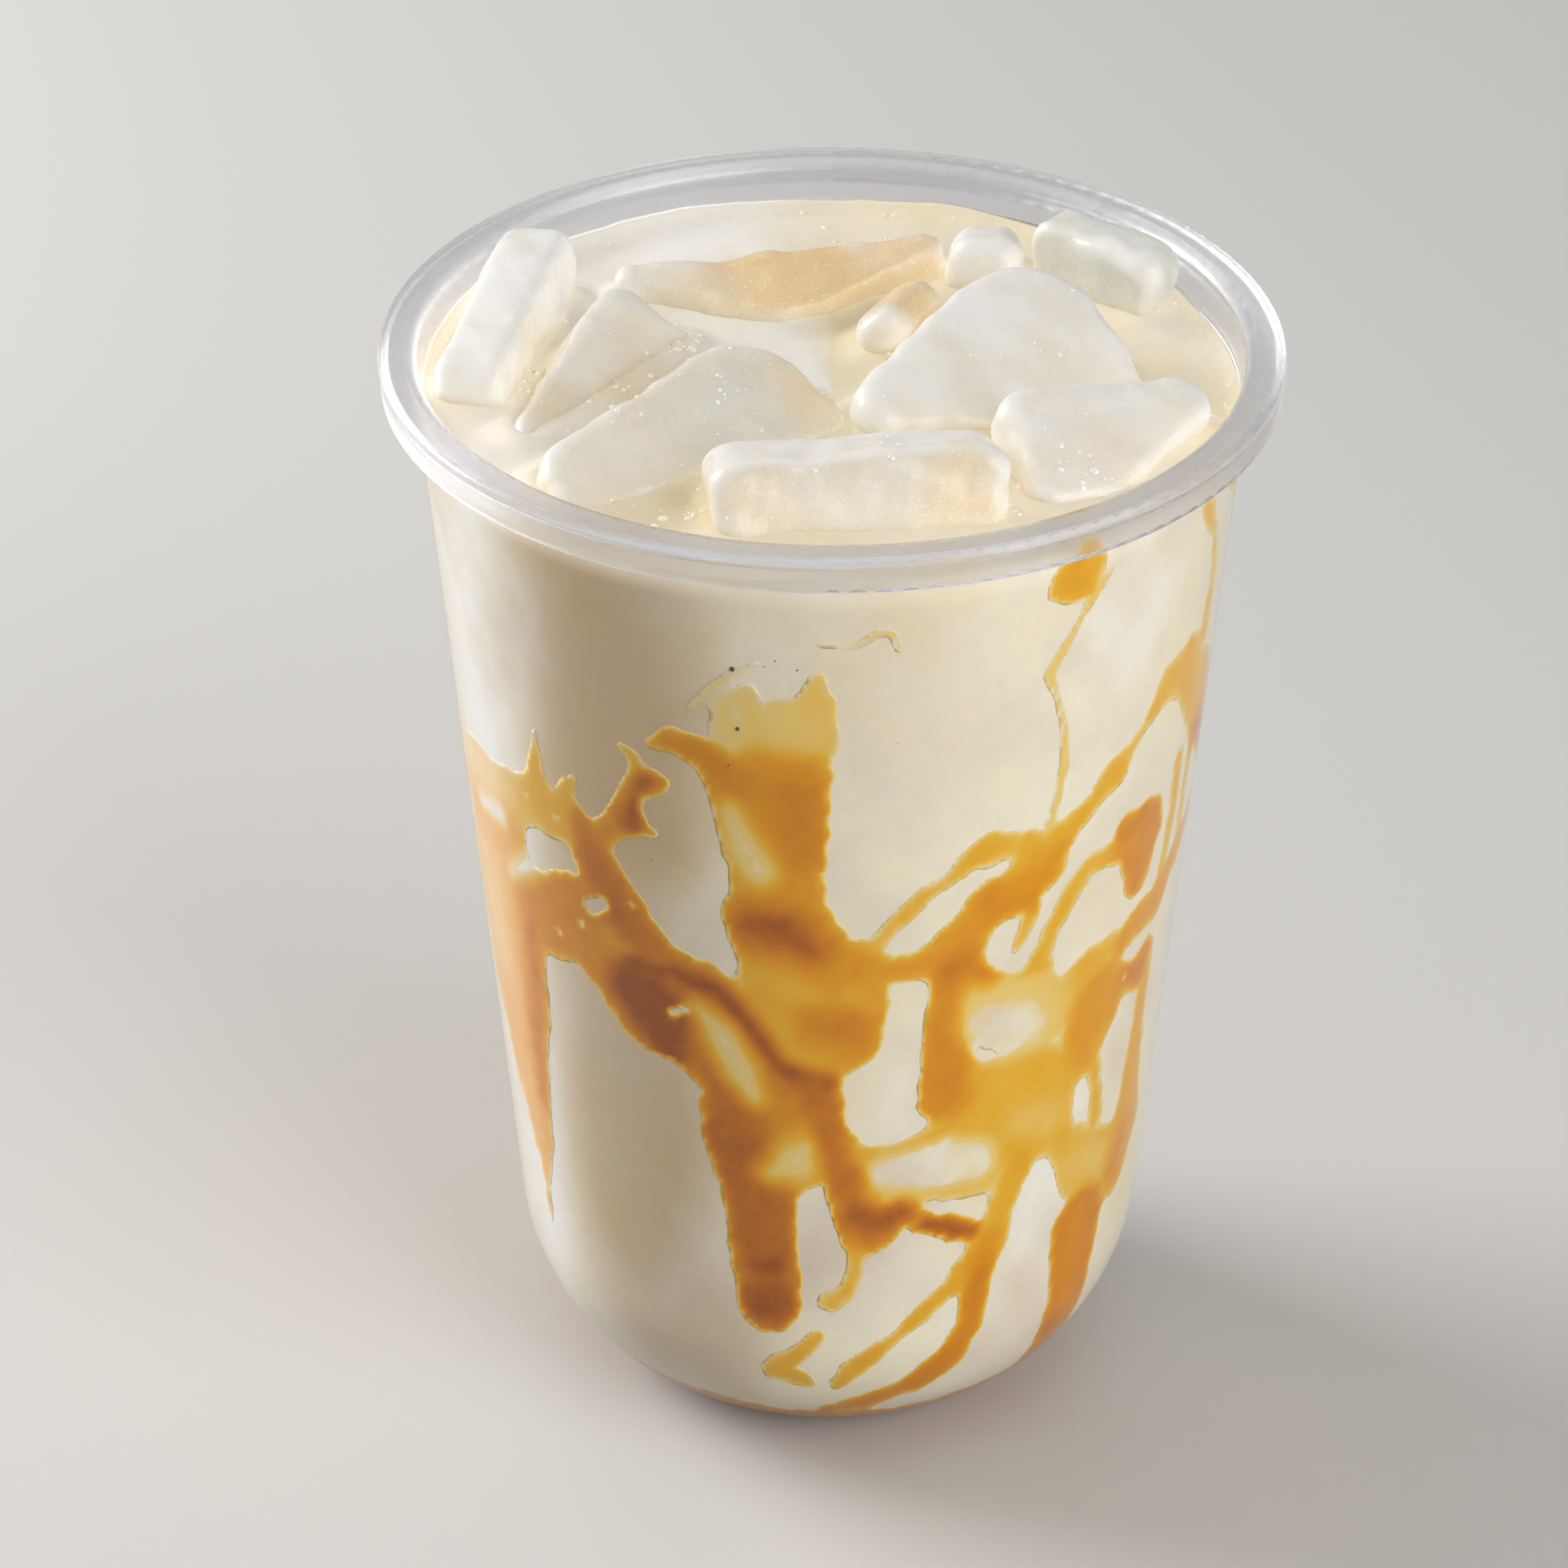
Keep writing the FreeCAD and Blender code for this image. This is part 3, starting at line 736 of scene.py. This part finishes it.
def make_ice_beads():
    """Trapped air and melt beads that catch the light on the lumps' faces."""
    rng = np.random.default_rng(81)
    spots, sizes = [], []
    for lump in lumps:
        points, normals = vertex_array(lump.data), vertex_array(lump.data, "normal")
        shown = np.nonzero(points[:, 2] > MILK_TOP + 0.8 * MM)[0]
        for index in rng.choice(shown, len(shown) // 90, replace=False):
            size = (0.05 + 0.13 * rng.random() ** 4) * MM
            spots.append(points[index] - normals[index] * size * 0.3)
            sizes.append(size)
    for x, y, spread, count in BEAD_CLUSTERS:
        for _ in range(count):
            above = Vector(((x + rng.normal() * spread) * MM, (y + rng.normal() * spread) * MM,
                            MILK_TOP + 30 * MM))
            place, normal, face, distance = ICE_TREE.ray_cast(above, Vector((0, 0, -1)))
            if place is not None and place.z > MILK_TOP + 0.4 * MM:
                size = (0.1 + 0.26 * rng.random() ** 2) * MM
                spots.append(np.array(place - normal * size * 0.3))
                sizes.append(size)
    return scatter("ice_beads", spots, sizes, BEAD, 82)


def make_specks():
    """Grounds of coffee caught between the drink and the wall."""
    places = np.array(SPECKS)
    spots = on_wall(places[:, 0], places[:, 1] * MM, 0.12 * MM)
    return scatter("coffee_specks", spots, places[:, 2] * MM, SPECK, 91)


make_foam()
make_ice_beads()
make_specks()


# ------------------------------------------------------------------ caramel on the wall

# Runs of sauce as they lie on the wall: (how deep, [(azimuth in degrees, height and
# half width in mm), ...]), from thin and yellow at 0 to thick and brown at 1.
RUNS = [
    # the broad fall on the left, with its torn upper edge
    (0.42, [(-66, 75, 8), (-66, 66, 9.5), (-66, 54, 8.5), (-64, 45, 5.6), (-62, 37, 3.4),
            (-62, 29, 1.0), (-62, 24, 0.3)]),
    (0.3, [(-84, 77, 5), (-72, 79, 4.5), (-60, 80.5, 3.6), (-52, 83, 3), (-44, 82, 2.2)]),
    (0.35, [(-50, 84, 2.2), (-49, 92.5, 0.2)]),
    (0.35, [(-45, 84, 1.8), (-41, 89.5, 0.2)]),
    # the dark band that leads from it down to the middle
    (0.72, [(-41, 83, 2.2), (-37, 77, 3.6), (-33, 71, 4.4), (-28, 64, 5.6), (-22, 60.5, 4.6)]),
    (0.6, [(-53, 68, 5), (-44, 70.5, 5.4), (-36, 67, 5.6), (-29, 62.5, 6)]),
    (0.62, [(-27, 68, 2.4), (-20, 67.5, 2.6), (-13, 63, 3), (-7, 58, 3.4)]),
    (0.68, [(-20, 57, 3), (-14, 56, 4.6), (-6, 54, 5)]),
    # its zigzag spur
    (0.62, [(-38, 82, 1.8), (-34, 85, 1.3), (-32, 88, 1.1), (-29.5, 91, 1.5), (-27, 92, 1.3),
            (-25, 92.3, 0.4)]),
    (0.45, [(-29, 92, 1.3), (-30, 94.5, 0.7), (-32, 95.5, 0.4)]),
    (0.6, [(-33, 85.5, 1.2), (-30, 86.2, 1.3), (-27.8, 85.5, 0.6)]),
    # the middle run, from its ragged top
    (0.52, [(-8, 95, 5.2), (-8, 90, 4.6), (-6.5, 84, 3.6), (-8.5, 77, 5.6), (-5, 71, 6),
            (1, 66, 5.5), (1, 62, 4.6)]),
    (0.18, [(-11, 99, 2.2), (-11.5, 104, 0.8)]),
    (0.2, [(-4, 100, 3), (-2.5, 104.5, 1.6), (-2, 107.3, 0.5)]),
    (0.16, [(-7, 100, 2.8), (-7.5, 103.5, 1)]),
    (0.1, [(-14.5, 98, 1.5), (-15.5, 103, 1.3), (-12, 105.5, 0.6)]),
    (0.1, [(-20.5, 102.5, 0.05), (-17, 105.5, 0.25), (-14, 107.3, 0.2), (-10, 109.3, 0.0)]),
    (0.45, [(-26.5, 97, 0.5), (-23, 97.8, 1.2), (-19, 96.8, 1.6), (-15, 95, 2.4)]),
    (0.58, [(-17, 93, 0.7), (-15.5, 87, 0.7), (-13.5, 82, 1)]),
    (0.4, [(-8, 66, 4.5), (-3, 62, 5)]),
    # the long drip and the strand beside it
    (0.8, [(-14, 56, 5), (-15, 48, 4.6), (-12.5, 40, 4.4), (-11.5, 32, 4.1), (-11.3, 25, 3.8)]),
    (0.5, [(-7, 51, 4.8), (-6, 45.5, 4)]),
    (0.7, [(-4, 58, 3.4), (-1, 50, 2), (1.5, 44, 2.2), (4.5, 38.5, 2.8), (7, 35.8, 3)]),
    (0.62, [(7, 35.8, 3), (12, 37.6, 1.6), (17, 35.6, 1.2), (22, 34.3, 1.5), (26, 33, 1)]),
    (0.3, [(5, 34, 0.6), (4.2, 30, 0.5), (2.5, 27, 1.1), (0, 25.8, 1.4)]),
    # the thin bridge above it, and the soft lower edge of the pocket under that
    (0.3, [(0, 47, 2), (6, 45.6, 1.1), (13, 46.6, 0.9), (20, 48.6, 1.3), (27, 47, 1.9),
            (31, 43, 2)]),
    (0.24, [(6, 40, 1.4), (12, 40.2, 0.8), (20, 39.4, 0.9), (27, 39.2, 1.1), (31, 41.2, 1.4)]),
    # the web to the right: its left leg, and its upper loops
    (0.5, [(3, 71, 3), (9, 70.4, 1.7), (14, 70.6, 1.8), (19, 72, 2.4), (23, 76, 2.6),
            (29, 78, 3), (34, 80, 2.8), (37, 82.4, 1.6)]),
    (0.6, [(20, 73, 2.4), (18.5, 67, 2), (18, 60, 2.4), (19.5, 53, 3.6)]),
    (0.34, [(6, 73.5, 0.8), (10, 77, 0.8), (14, 79.7, 0.8), (17.5, 81.3, 0.9), (20, 83, 1),
            (24, 84.5, 1.7), (29, 83.5, 1.8), (32, 81.5, 2)]),
    (0.36, [(36, 83, 1.4), (40, 84.5, 1.3), (43, 86, 1), (45.5, 87.8, 1.7)]),
    (0.3, [(45.5, 87.8, 1.6), (50, 90, 0.5), (54, 93, 0.8), (58, 96, 1.4), (64, 97, 1.8)]),
    (0.32, [(60, 95, 2.2), (65, 94, 3), (71, 90, 4), (77, 86, 4.5), (84, 82, 5)]),
    (0.34, [(34, 67.5, 1), (37, 71.5, 1.1), (40, 75.5, 1.2), (43, 77.5, 1), (48, 77.5, 1.4)]),
    (0.68, [(52, 79, 2.6), (56, 77, 4.4), (56, 71.5, 2.2)]),
    (0.35, [(21, 71, 1.2), (25, 67.6, 0.7), (30, 66.3, 0.5), (36, 66.5, 0.8)]),
    (0.3, [(29.5, 70, 0.4), (31, 72.5, 0.8), (32, 74.5, 0.8)]),
    (0.34, [(66, 83, 0.9), (66.5, 77, 0.9), (65, 70, 0.9)]),
    (0.3, [(72, 84, 0.9), (71, 76, 0.8), (72, 69, 1)]),
    # its wide thin sheet, and the blobs at the right
    (0.3, [(24, 52, 4.2), (32, 51, 5.5), (39, 50.5, 4.6), (39.5, 44, 3.8)]),
    (0.22, [(24, 65, 2.6), (32, 62, 4), (39, 60, 4)]),
    (0.04, [(26, 61, 2.6), (33, 59, 3)]),
    (0.02, [(10, 43.3, 2.2), (18, 43.4, 2.6), (25, 43, 2.8)]),
    (0.46, [(49, 58, 5), (46, 52.5, 3.6)]),
    (0.3, [(43, 63, 2.4), (50, 64.5, 2)]),
    (0.5, [(53, 64, 1.6), (58, 65.5, 2.2), (64, 66, 2.4), (70, 69, 1.6), (80, 72, 1.4)]),
    (0.6, [(56, 58.5, 1.6), (60, 57.5, 2.2), (63, 59.5, 1.8)]),
    (0.42, [(64, 57, 1.6), (63.5, 50, 1.6), (64, 43, 2.6), (64.5, 36, 4.2), (62, 31, 3.4)]),
    (0.34, [(49.5, 51, 1.2), (51, 46, 1), (52, 41.5, 1)]),
    (0.28, [(43.5, 41, 2.2), (50, 36, 4.4), (56, 35, 3.6)]),
    (0.66, [(51, 27.5, 5), (51, 20, 4.2), (50.5, 12, 4), (50, 7, 3.4)]),
    # the strands that run down to the foot
    (0.36, [(35, 44, 2.6), (32, 37.5, 1.9), (29, 31, 2.2)]),
    (0.62, [(29, 31, 2.2), (27.5, 26, 2), (26, 20, 1.9), (23, 15.5, 2), (17, 12.5, 1.9),
            (9, 9.8, 1.5), (0, 7.5, 1.2)]),
    (0.4, [(25, 27.5, 1.6), (19, 24.3, 1), (13, 20.8, 0.9), (8, 17.8, 1), (3.5, 15.5, 1.2),
            (1.8, 13.6, 1.1)]),
    (0.34, [(-4.5, 13.9, 0.8), (-8, 15, 1.2), (-11, 15.3, 1.2), (-8, 17, 1.1),
            (-4.5, 18.9, 1.1), (-2.5, 20.6, 0.8)]),
    # the sauce that creeps up the shoulder from the floor, all the way round
    (0.66, [(-75, 6.4, 1.3), (-50, 6.8, 1.6), (-30, 6.2, 1.4), (-5, 5.6, 1.1), (20, 5.4, 1.1),
            (45, 6, 1.3), (70, 6.5, 1.3)]),
    (0.62, [(70, 6.5, 1.3), (110, 5.8, 1.2), (150, 6.6, 1.5), (190, 5.8, 1.1),
            (230, 6.4, 1.4), (285, 6.4, 1.3)]),
    # thin threads and a drop near the top
    (0.42, [(34.3, 115.3, 2.9)]),
    (0.3, [(37.5, 116, 1.4), (36, 119, 0.8)]),
    (0.22, [(41, 115, 0.1), (36, 110, 0.15), (31.5, 104.3, 0.5), (33.3, 101, 0.2),
            (35, 97, 0.3), (35.6, 92, 0.35), (34.7, 87, 0.3), (33.5, 83, 0.4)]),
    (0.12, [(-2, 111.6, 0.05), (3, 111.5, 0.15), (6, 113, 0.2), (8, 112.8, 0.2),
            (8.8, 110.8, 0.1)]),
    (0.3, [(63, 115, 0.8), (68, 110.5, 0.8), (70.5, 104, 0.9), (70, 97, 1.4)]),
    (0.3, [(74, 114, 0.8), (82, 110, 1)]),
]

# Holes through the sauce: [(azimuth, height, half width), ...].
HOLES = [
    [(-40, 73, 1.2), (-37.8, 74, 1)],
    [(-42.5, 70, 0.5)],
    [(-48, 67.3, 0.45)],
    [(-32, 75.3, 0.45)],
    [(-53, 83, 0.4)],
    [(-46, 82.5, 0.4)],
    [(-26, 62.5, 0.6), (-23.5, 63.6, 0.6)],
    [(56, 58.6, 0.4)],
]

# Where the sauce is thicker or thinner than its run: (how deep, softness of the edge in mm,
# [(azimuth, height, half width), ...]), laid one over the other.
TONES = [
    # the broad fall
    (0.2, 2.5, [(-80, 81, 2), (-66, 81.5, 2.5), (-56, 82, 1)]),
    (0, 1.2, [(-70, 76.3, 0.7), (-62, 77.5, 1)]),
    (0, 1.5, [(-60, 70.8, 0.6), (-55, 73.3, 1.5), (-49, 76.5, 0.8), (-45, 78.5, 0.3)]),
    (0.28, 3, [(-72, 68, 3), (-70, 58, 3)]),
    (0.72, 2, [(-56, 66, 1), (-57, 58, 1.6), (-58.5, 50, 1.6), (-59, 42, 1.2)]),
    (0.62, 2, [(-56, 68.5, 1.5), (-46, 71.5, 2), (-41, 74, 1)]),
    # the dark band: thick sauce, with its tones made a little deeper where it lies in the shade
    # between the lamps, a painted shade
    (0.8, 1.8, [(-38.5, 79.5, 1.2), (-37, 76, 1.2), (-33, 71, 1.2)]),
    (0.5, 1.4, [(-37, 69.5, 1), (-34, 69, 0.8)]),
    (1, 2, [(-33, 64.5, 3), (-29, 62, 4), (-27.5, 57.5, 2)]),
    (0.98, 1.1, [(-33, 67.3, 0.7), (-26, 68, 0.6), (-18, 66.8, 1.1), (-13, 62.5, 1.1),
                 (-8, 58, 1.2), (-2, 55.6, 1.4)]),
    (0.9, 1, [(-31, 86, 1.2), (-30, 90, 0.5), (-28, 92, 0.8)]),
    # the middle run
    (0.62, 1.5, [(-24, 97.4, 0.4), (-19, 97, 1), (-14, 94, 1.5)]),
    (0.14, 2.5, [(-7, 102, 2.5)]),
    (0.7, 2.5, [(-6, 92.5, 2), (-4.5, 86, 1.6)]),
    (0.04, 1.8, [(-15, 90, 0.7), (-13.2, 86, 1.6), (-11, 83.2, 1.7)]),
    (0.95, 2.2, [(-12, 76, 1.6), (-7, 75.5, 2.2), (-3, 73, 1)]),
    (0.26, 2, [(-14, 69.5, 0.8), (-8, 68.4, 1.3), (-3, 67.2, 0.6)]),
    (0.32, 1.8, [(-10, 67, 1.2), (-8, 63.5, 1), (-6, 60, 0.9), (-2, 58.6, 0.6)]),
    (0.34, 1.4, [(3, 67, 1.2), (6, 65.5, 1)]),
    (0.68, 2.4, [(-2, 63.5, 1.4), (3, 63, 2)]),
    (0.05, 1.8, [(-21.5, 64, 0.5), (-18, 61, 1.7), (-15, 57, 1.9), (-12.5, 53.5, 1)]),
    # the long drip
    (0.86, 2.4, [(-15, 47, 2.2), (-13.5, 43, 2)]),
    (0.06, 2.2, [(-10, 43.2, 1), (-6, 45, 2.2), (-4, 47, 1)]),
    (0.84, 2, [(-12.5, 38, 2.2), (-11.5, 33, 2.2)]),
    (1, 1.2, [(-13, 30.2, 0.5), (-10, 30.2, 0.6)]),
    (1, 1.8, [(-11.3, 25, 2.2)]),
    # the strand beside it
    (0.8, 1.6, [(-3, 55, 1.2), (-0.5, 48, 1), (2, 42, 1)]),
    (0.95, 1.8, [(4.5, 38, 1.2), (8, 36.3, 1.4), (12, 37.6, 0.8)]),
    (0.95, 1.2, [(17, 35.4, 0.6), (22, 34.2, 0.8), (25, 33.4, 0.6)]),
    # the web
    (0.74, 2, [(18, 69, 1), (21, 70.2, 0.8), (25, 67.3, 0.3)]),
    (0.62, 2.4, [(18, 62, 1), (18.5, 55, 2), (20, 52, 1.4)]),
    (0.6, 2, [(25, 77, 1.2), (31, 76, 1.2)]),
    (0, 3, [(25.5, 62, 2.2), (32, 60, 3), (35, 59, 1.6)]),
    (0, 2, [(10, 43.2, 1.4), (18, 43.4, 2), (25, 43, 1.8)]),
    (0.2, 2.4, [(34, 46, 1.5), (40, 45, 1.5)]),
    (0.6, 2.4, [(52, 76.5, 1.6), (57, 75.5, 2.2)]),
    (0.1, 1.8, [(60, 70, 0.8)]),
    (0.5, 2.6, [(48.5, 57.5, 2.6)]),
    (0.7, 1.4, [(56, 59, 0.5), (61, 57.6, 1)]),
    (0.2, 1.8, [(47, 37, 1.6), (54, 35, 1.8)]),
    (0.56, 2.4, [(63.5, 36, 1.6), (61, 31.5, 1.6)]),
    (0.62, 1.6, [(50.5, 26.5, 3), (50.5, 16, 2.6)]),
    (0.78, 2, [(48.5, 14, 1), (50, 10, 1.6)]),
    (0.66, 1.4, [(28, 27, 0.8), (26, 19.5, 0.8), (22.5, 15, 1), (16, 12, 0.9)]),
    (0.8, 2.5, [(74, 84, 1.6), (84, 80, 1.6)]),
]

MM_PER_DEGREE = 0.7             # along the wall, half way up
FILM_PITCH = 0.56               # mm between the points of the film's grid
FILM_PROUD = 0.02 * MM          # how far it stands out from the drink, inside the wall
FILM_BEHIND = 0.35 * MM         # and how far it reaches inwards from the wall
FEATHER = 0.3                   # mm either side of its edge in which the sauce thins out


def along(x, z, run):
    """Signed distance in mm from grid points to a tapered, rounded run; inside is positive."""
    best = np.full(x.shape, -1e9)
    ends = [(azimuth * MM_PER_DEGREE, height, half) for azimuth, height, half in run]
    if len(ends) == 1:
        ends = ends * 2
    for (ax, az, ar), (bx, bz, br) in zip(ends, ends[1:]):
        dx, dz = bx - ax, bz - az
        length = max(dx * dx + dz * dz, 1e-9)
        share = np.clip(((x - ax) * dx + (z - az) * dz) / length, 0, 1)
        away = np.hypot(x - ax - share * dx, z - az - share * dz)
        best = np.maximum(best, ar + share * (br - ar) - away)
    return best


def hidden_side_runs(seed):
    """Runs of the same kind for the far side, which nothing shows."""
    rng = np.random.default_rng(seed)
    runs = []
    for start in (96, 118, 139, 163, 187, 206, 231, 252):
        azimuth = start + rng.uniform(-4, 4)
        top, foot = rng.uniform(72, 108), rng.uniform(12, 45)
        wide = rng.uniform(1.6, 4.6)
        run = [(azimuth, top, 0.4)]
        for height in np.linspace(top - 6, foot + 8, 5):
            azimuth += rng.uniform(-5, 5)
            run.append((azimuth, height, wide * rng.uniform(0.6, 1.3)))
        run.append((azimuth, foot, wide * 1.1))
        runs.append((rng.uniform(0.35, 0.8), run))
    for height in (88, 66, 47, 82, 58, 30):
        azimuth = rng.uniform(95, 225)
        run = []
        for _ in range(5):
            run.append((azimuth, height, rng.uniform(0.8, 3.4)))
            azimuth += rng.uniform(7, 12)
            height += rng.uniform(-9, 6)
        runs.append((rng.uniform(0.3, 0.65), run))
    return runs


def sauce_field(x, z):
    """How far inside the sauce each grid point is, in mm, and how deep the sauce is there."""
    turn = 360 * MM_PER_DEGREE
    flat = np.stack([x.ravel(), z.ravel()], -1)
    wobble = np.stack([np.cos(flat[:, 0] / turn * 2 * math.pi) * turn / 6.28,
                       np.sin(flat[:, 0] / turn * 2 * math.pi) * turn / 6.28, flat[:, 1]], -1)
    ragged = (0.42 * rough_waves(wobble, 6, 41) + 0.2 * rough_waves(wobble, 2.4, 42))
    ragged = ragged.reshape(x.shape)
    inside = np.full(x.shape, -1e9)
    weights = np.full(x.shape, 1e-6)
    depths = np.zeros(x.shape)
    for deep, run in RUNS + hidden_side_runs(5):
        middle = np.mean([azimuth for azimuth, height, half in run]) * MM_PER_DEGREE
        nearest = x - turn * np.round((x - middle) / turn)
        sign = along(nearest, z, run)
        thin = min(max(half for azimuth, height, half in run), 1.5) / 1.5
        sign = sign + ragged * thin
        reach = 1.2
        rounded = np.logaddexp(inside / reach * 2, sign / reach * 2) * reach / 2
        inside = np.where(np.abs(inside - sign) < 2, rounded, np.maximum(inside, sign))
        weight = np.clip(sign + 1.0, 0, 3.5) ** 2
        weights += weight
        depths += weight * deep
    depth = depths / weights * (0.75 + 0.25 * smooth_step(0, 1.6, inside))
    for hole in HOLES:
        inside = np.minimum(inside, -along(x, z, hole) - 0.2 * ragged)
    inside = inside + FEATHER
    for tone, soft, run in TONES:
        share = smooth_step(-1.3 * soft, 0.9 * soft, along(x, z, run) + 0.5 * ragged)
        depth = depth + (tone - depth) * share
    depth = depth + 0.06 * ragged
    return inside, depth.clip(0) * smooth_step(0, 2 * FEATHER, inside)


class Outline:
    """Polygons that cover where a grid of values, joined end to end, is above zero."""

    def __init__(self, inside):
        self.inside = inside
        self.columns = inside.shape[1]
        self.solid = inside > 0
        self.spots, self.index_of, self.polygons, self.rim = [], {}, [], []
        touched = self.solid | np.roll(self.solid, -1, 1)
        touched[:-1] |= touched[1:]
        for row, column in zip(*np.nonzero(touched[:-1])):
            self.cover_cell(row, column)

    def spot(self, key, column, row):
        """The number of a point, made when it is first asked for."""
        if key not in self.index_of:
            self.index_of[key] = len(self.spots)
            self.spots.append((column, row))
        return self.index_of[key]

    def crossing(self, first, second):
        """The point between two corners where the value is zero."""
        one, other = ((row, column % self.columns) for row, column in (first, second))
        start, end = self.inside[one], self.inside[other]
        share = min(max(start / (start - end), 0.02), 0.98)
        return self.spot(tuple(sorted((one, other))), first[1] + share * (second[1] - first[1]),
                         first[0] + share * (second[0] - first[0]))

    def cover_cell(self, row, column):
        """Add the part of one cell that is inside, and the edges that bound the cover."""
        corners = [(row, column), (row, column + 1), (row + 1, column + 1), (row + 1, column)]
        polygon, cuts = [], []
        for here, there in zip(corners, corners[1:] + corners[:1]):
            key = (here[0], here[1] % self.columns)
            inner = self.solid[key]
            if inner:
                polygon.append(self.spot(key, here[1] * 1.0, here[0] * 1.0))
            if inner != self.solid[there[0], there[1] % self.columns]:
                cuts.append((len(polygon), inner))
                polygon.append(self.crossing(here, there))
        if len(polygon) > 2:
            self.polygons.append(polygon)
            for place, leaving in cuts:
                if leaving:
                    self.rim.append((polygon[place], polygon[(place + 1) % len(polygon)]))


def sampled(values, spots):
    """Values of a grid, joined end to end, at places between its points."""
    rows, columns = values.shape
    low = np.clip(spots.astype(int), 0, [columns * 2, rows - 2])
    part = spots - low
    row, column = low[:, 1], low[:, 0] % columns
    after = (column + 1) % columns
    lower = values[row, column] * (1 - part[:, 0]) + values[row, after] * part[:, 0]
    upper = values[row + 1, column] * (1 - part[:, 0]) + values[row + 1, after] * part[:, 0]
    return lower * (1 - part[:, 1]) + upper * part[:, 1]


def make_sauce_on_wall():
    """Cut the film's outline out of a grid on the wall, and close it behind."""
    across = int(round(360 * MM_PER_DEGREE / FILM_PITCH))
    heights = np.arange(FLOOR / MM + 2.2, MILK_EDGE / MM + 1.4, FILM_PITCH)
    x = np.arange(across) * 360 * MM_PER_DEGREE / across - 180 * MM_PER_DEGREE
    inside, depth = sauce_field(*np.meshgrid(x, heights))
    inside[0] = inside[-1] = -1
    outline = Outline(inside)
    spots, polygons, rim = np.array(outline.spots), outline.polygons, outline.rim
    count = len(spots)
    azimuth = spots[:, 0] * 360 / across - 180
    height = (heights[0] + spots[:, 1] * FILM_PITCH) * MM
    front = on_wall(azimuth, height, BITE + FILM_PROUD)
    back = on_wall(azimuth, height, -FILM_BEHIND)
    faces = polygons + [[count + v for v in reversed(p)] for p in polygons]
    faces += [(b, a, count + a, count + b) for a, b in rim]
    piece = new_piece("sauce_on_wall", np.concatenate([front, back]), faces, CARAMEL)
    smooth = [True] * (2 * len(polygons)) + [False] * len(rim)
    piece.data.polygons.foreach_set("use_smooth", smooth)
    deep = np.clip(sampled(depth, spots), 0, 1)
    # painted key light: the sauce turns peach on the left, from azimuth -125 to -52
    painted_key_light = smooth_step(-125, -95, azimuth) - smooth_step(-66, -52, azimuth)
    paint(piece, "deep", np.concatenate([deep, deep]))
    paint(piece, "painted_key_light", np.concatenate([painted_key_light, painted_key_light]))
    paint_milk(piece)


make_sauce_on_wall()


# --------------------------------------------------------------------------- the cup

cup = nodes["cup"]
cup.data.materials.clear()
cup.data.materials.append(CLEAR)


# ------------------------------------------------------------------------------ stage

def make_lamp(name, place, target, size, watts):
    """A square soft box that faces the target."""
    light = bpy.data.lights.new(name, "AREA")
    light.size = size
    light.energy = watts
    lamp = bpy.data.objects.new(name, light)
    lamp.location = place
    lamp.rotation_euler = (Vector(target) - Vector(place)).to_track_quat("-Z", "Y").to_euler()
    bpy.context.scene.collection.objects.link(lamp)


def make_surroundings():
    """Plain soft light all round, which clear plastic shows as a pale backdrop."""
    world = bpy.data.worlds.new("studio")
    world.use_nodes = True
    background = world.node_tree.nodes["Background"]
    background.inputs["Color"].default_value = (*colour("EDEDEE"), 1)
    path = add(world, "ShaderNodeLightPath")
    seen = maths(world, "MAXIMUM", path.outputs["Is Camera Ray"],
                 path.outputs["Is Transmission Ray"])
    strength = maths(world, "ADD", maths(world, "MULTIPLY", seen, 0.48), 0.36)
    link(world, strength, background.inputs["Strength"])
    return world


def make_stage():
    """A pale floor, pale surroundings and two soft lamps."""
    bpy.ops.mesh.primitive_plane_add(size=6, location=(0, 0, 0))
    floor = bpy.context.object
    floor.name = "floor"
    material, shader = new_material("floor", Roughness=0.6)
    shader.inputs["Base Color"].default_value = (*colour("D8D6D2"), 1)
    floor.data.materials.append(material)
    bpy.context.scene.world = make_surroundings()
    middle = (0, 0, 0.07)
    make_lamp("key_left_back", (-0.72, 0.34, 0.46), middle, 0.5, 7.7)
    make_lamp("fill_right", (0.58, -0.62, 0.46), middle, 0.7, 5.6)
    scene = bpy.context.scene
    scene.view_settings.view_transform = "Standard"
    scene.cycles.max_bounces = 14
    scene.cycles.diffuse_bounces = 3
    scene.cycles.glossy_bounces = 7
    scene.cycles.caustics_reflective = False


def make_camera():
    """Looks down at the cup at the angle of the photograph."""
    data = bpy.data.cameras.new("camera")
    data.lens = 150
    data.sensor_width = 36
    camera = bpy.data.objects.new("camera", data)
    camera.location = (-0.005004, -0.609756, 0.435108)
    camera.rotation_euler = (math.radians(59.085), 0, 0)
    bpy.context.scene.collection.objects.link(camera)
    bpy.context.scene.camera = camera


make_stage()
make_camera()
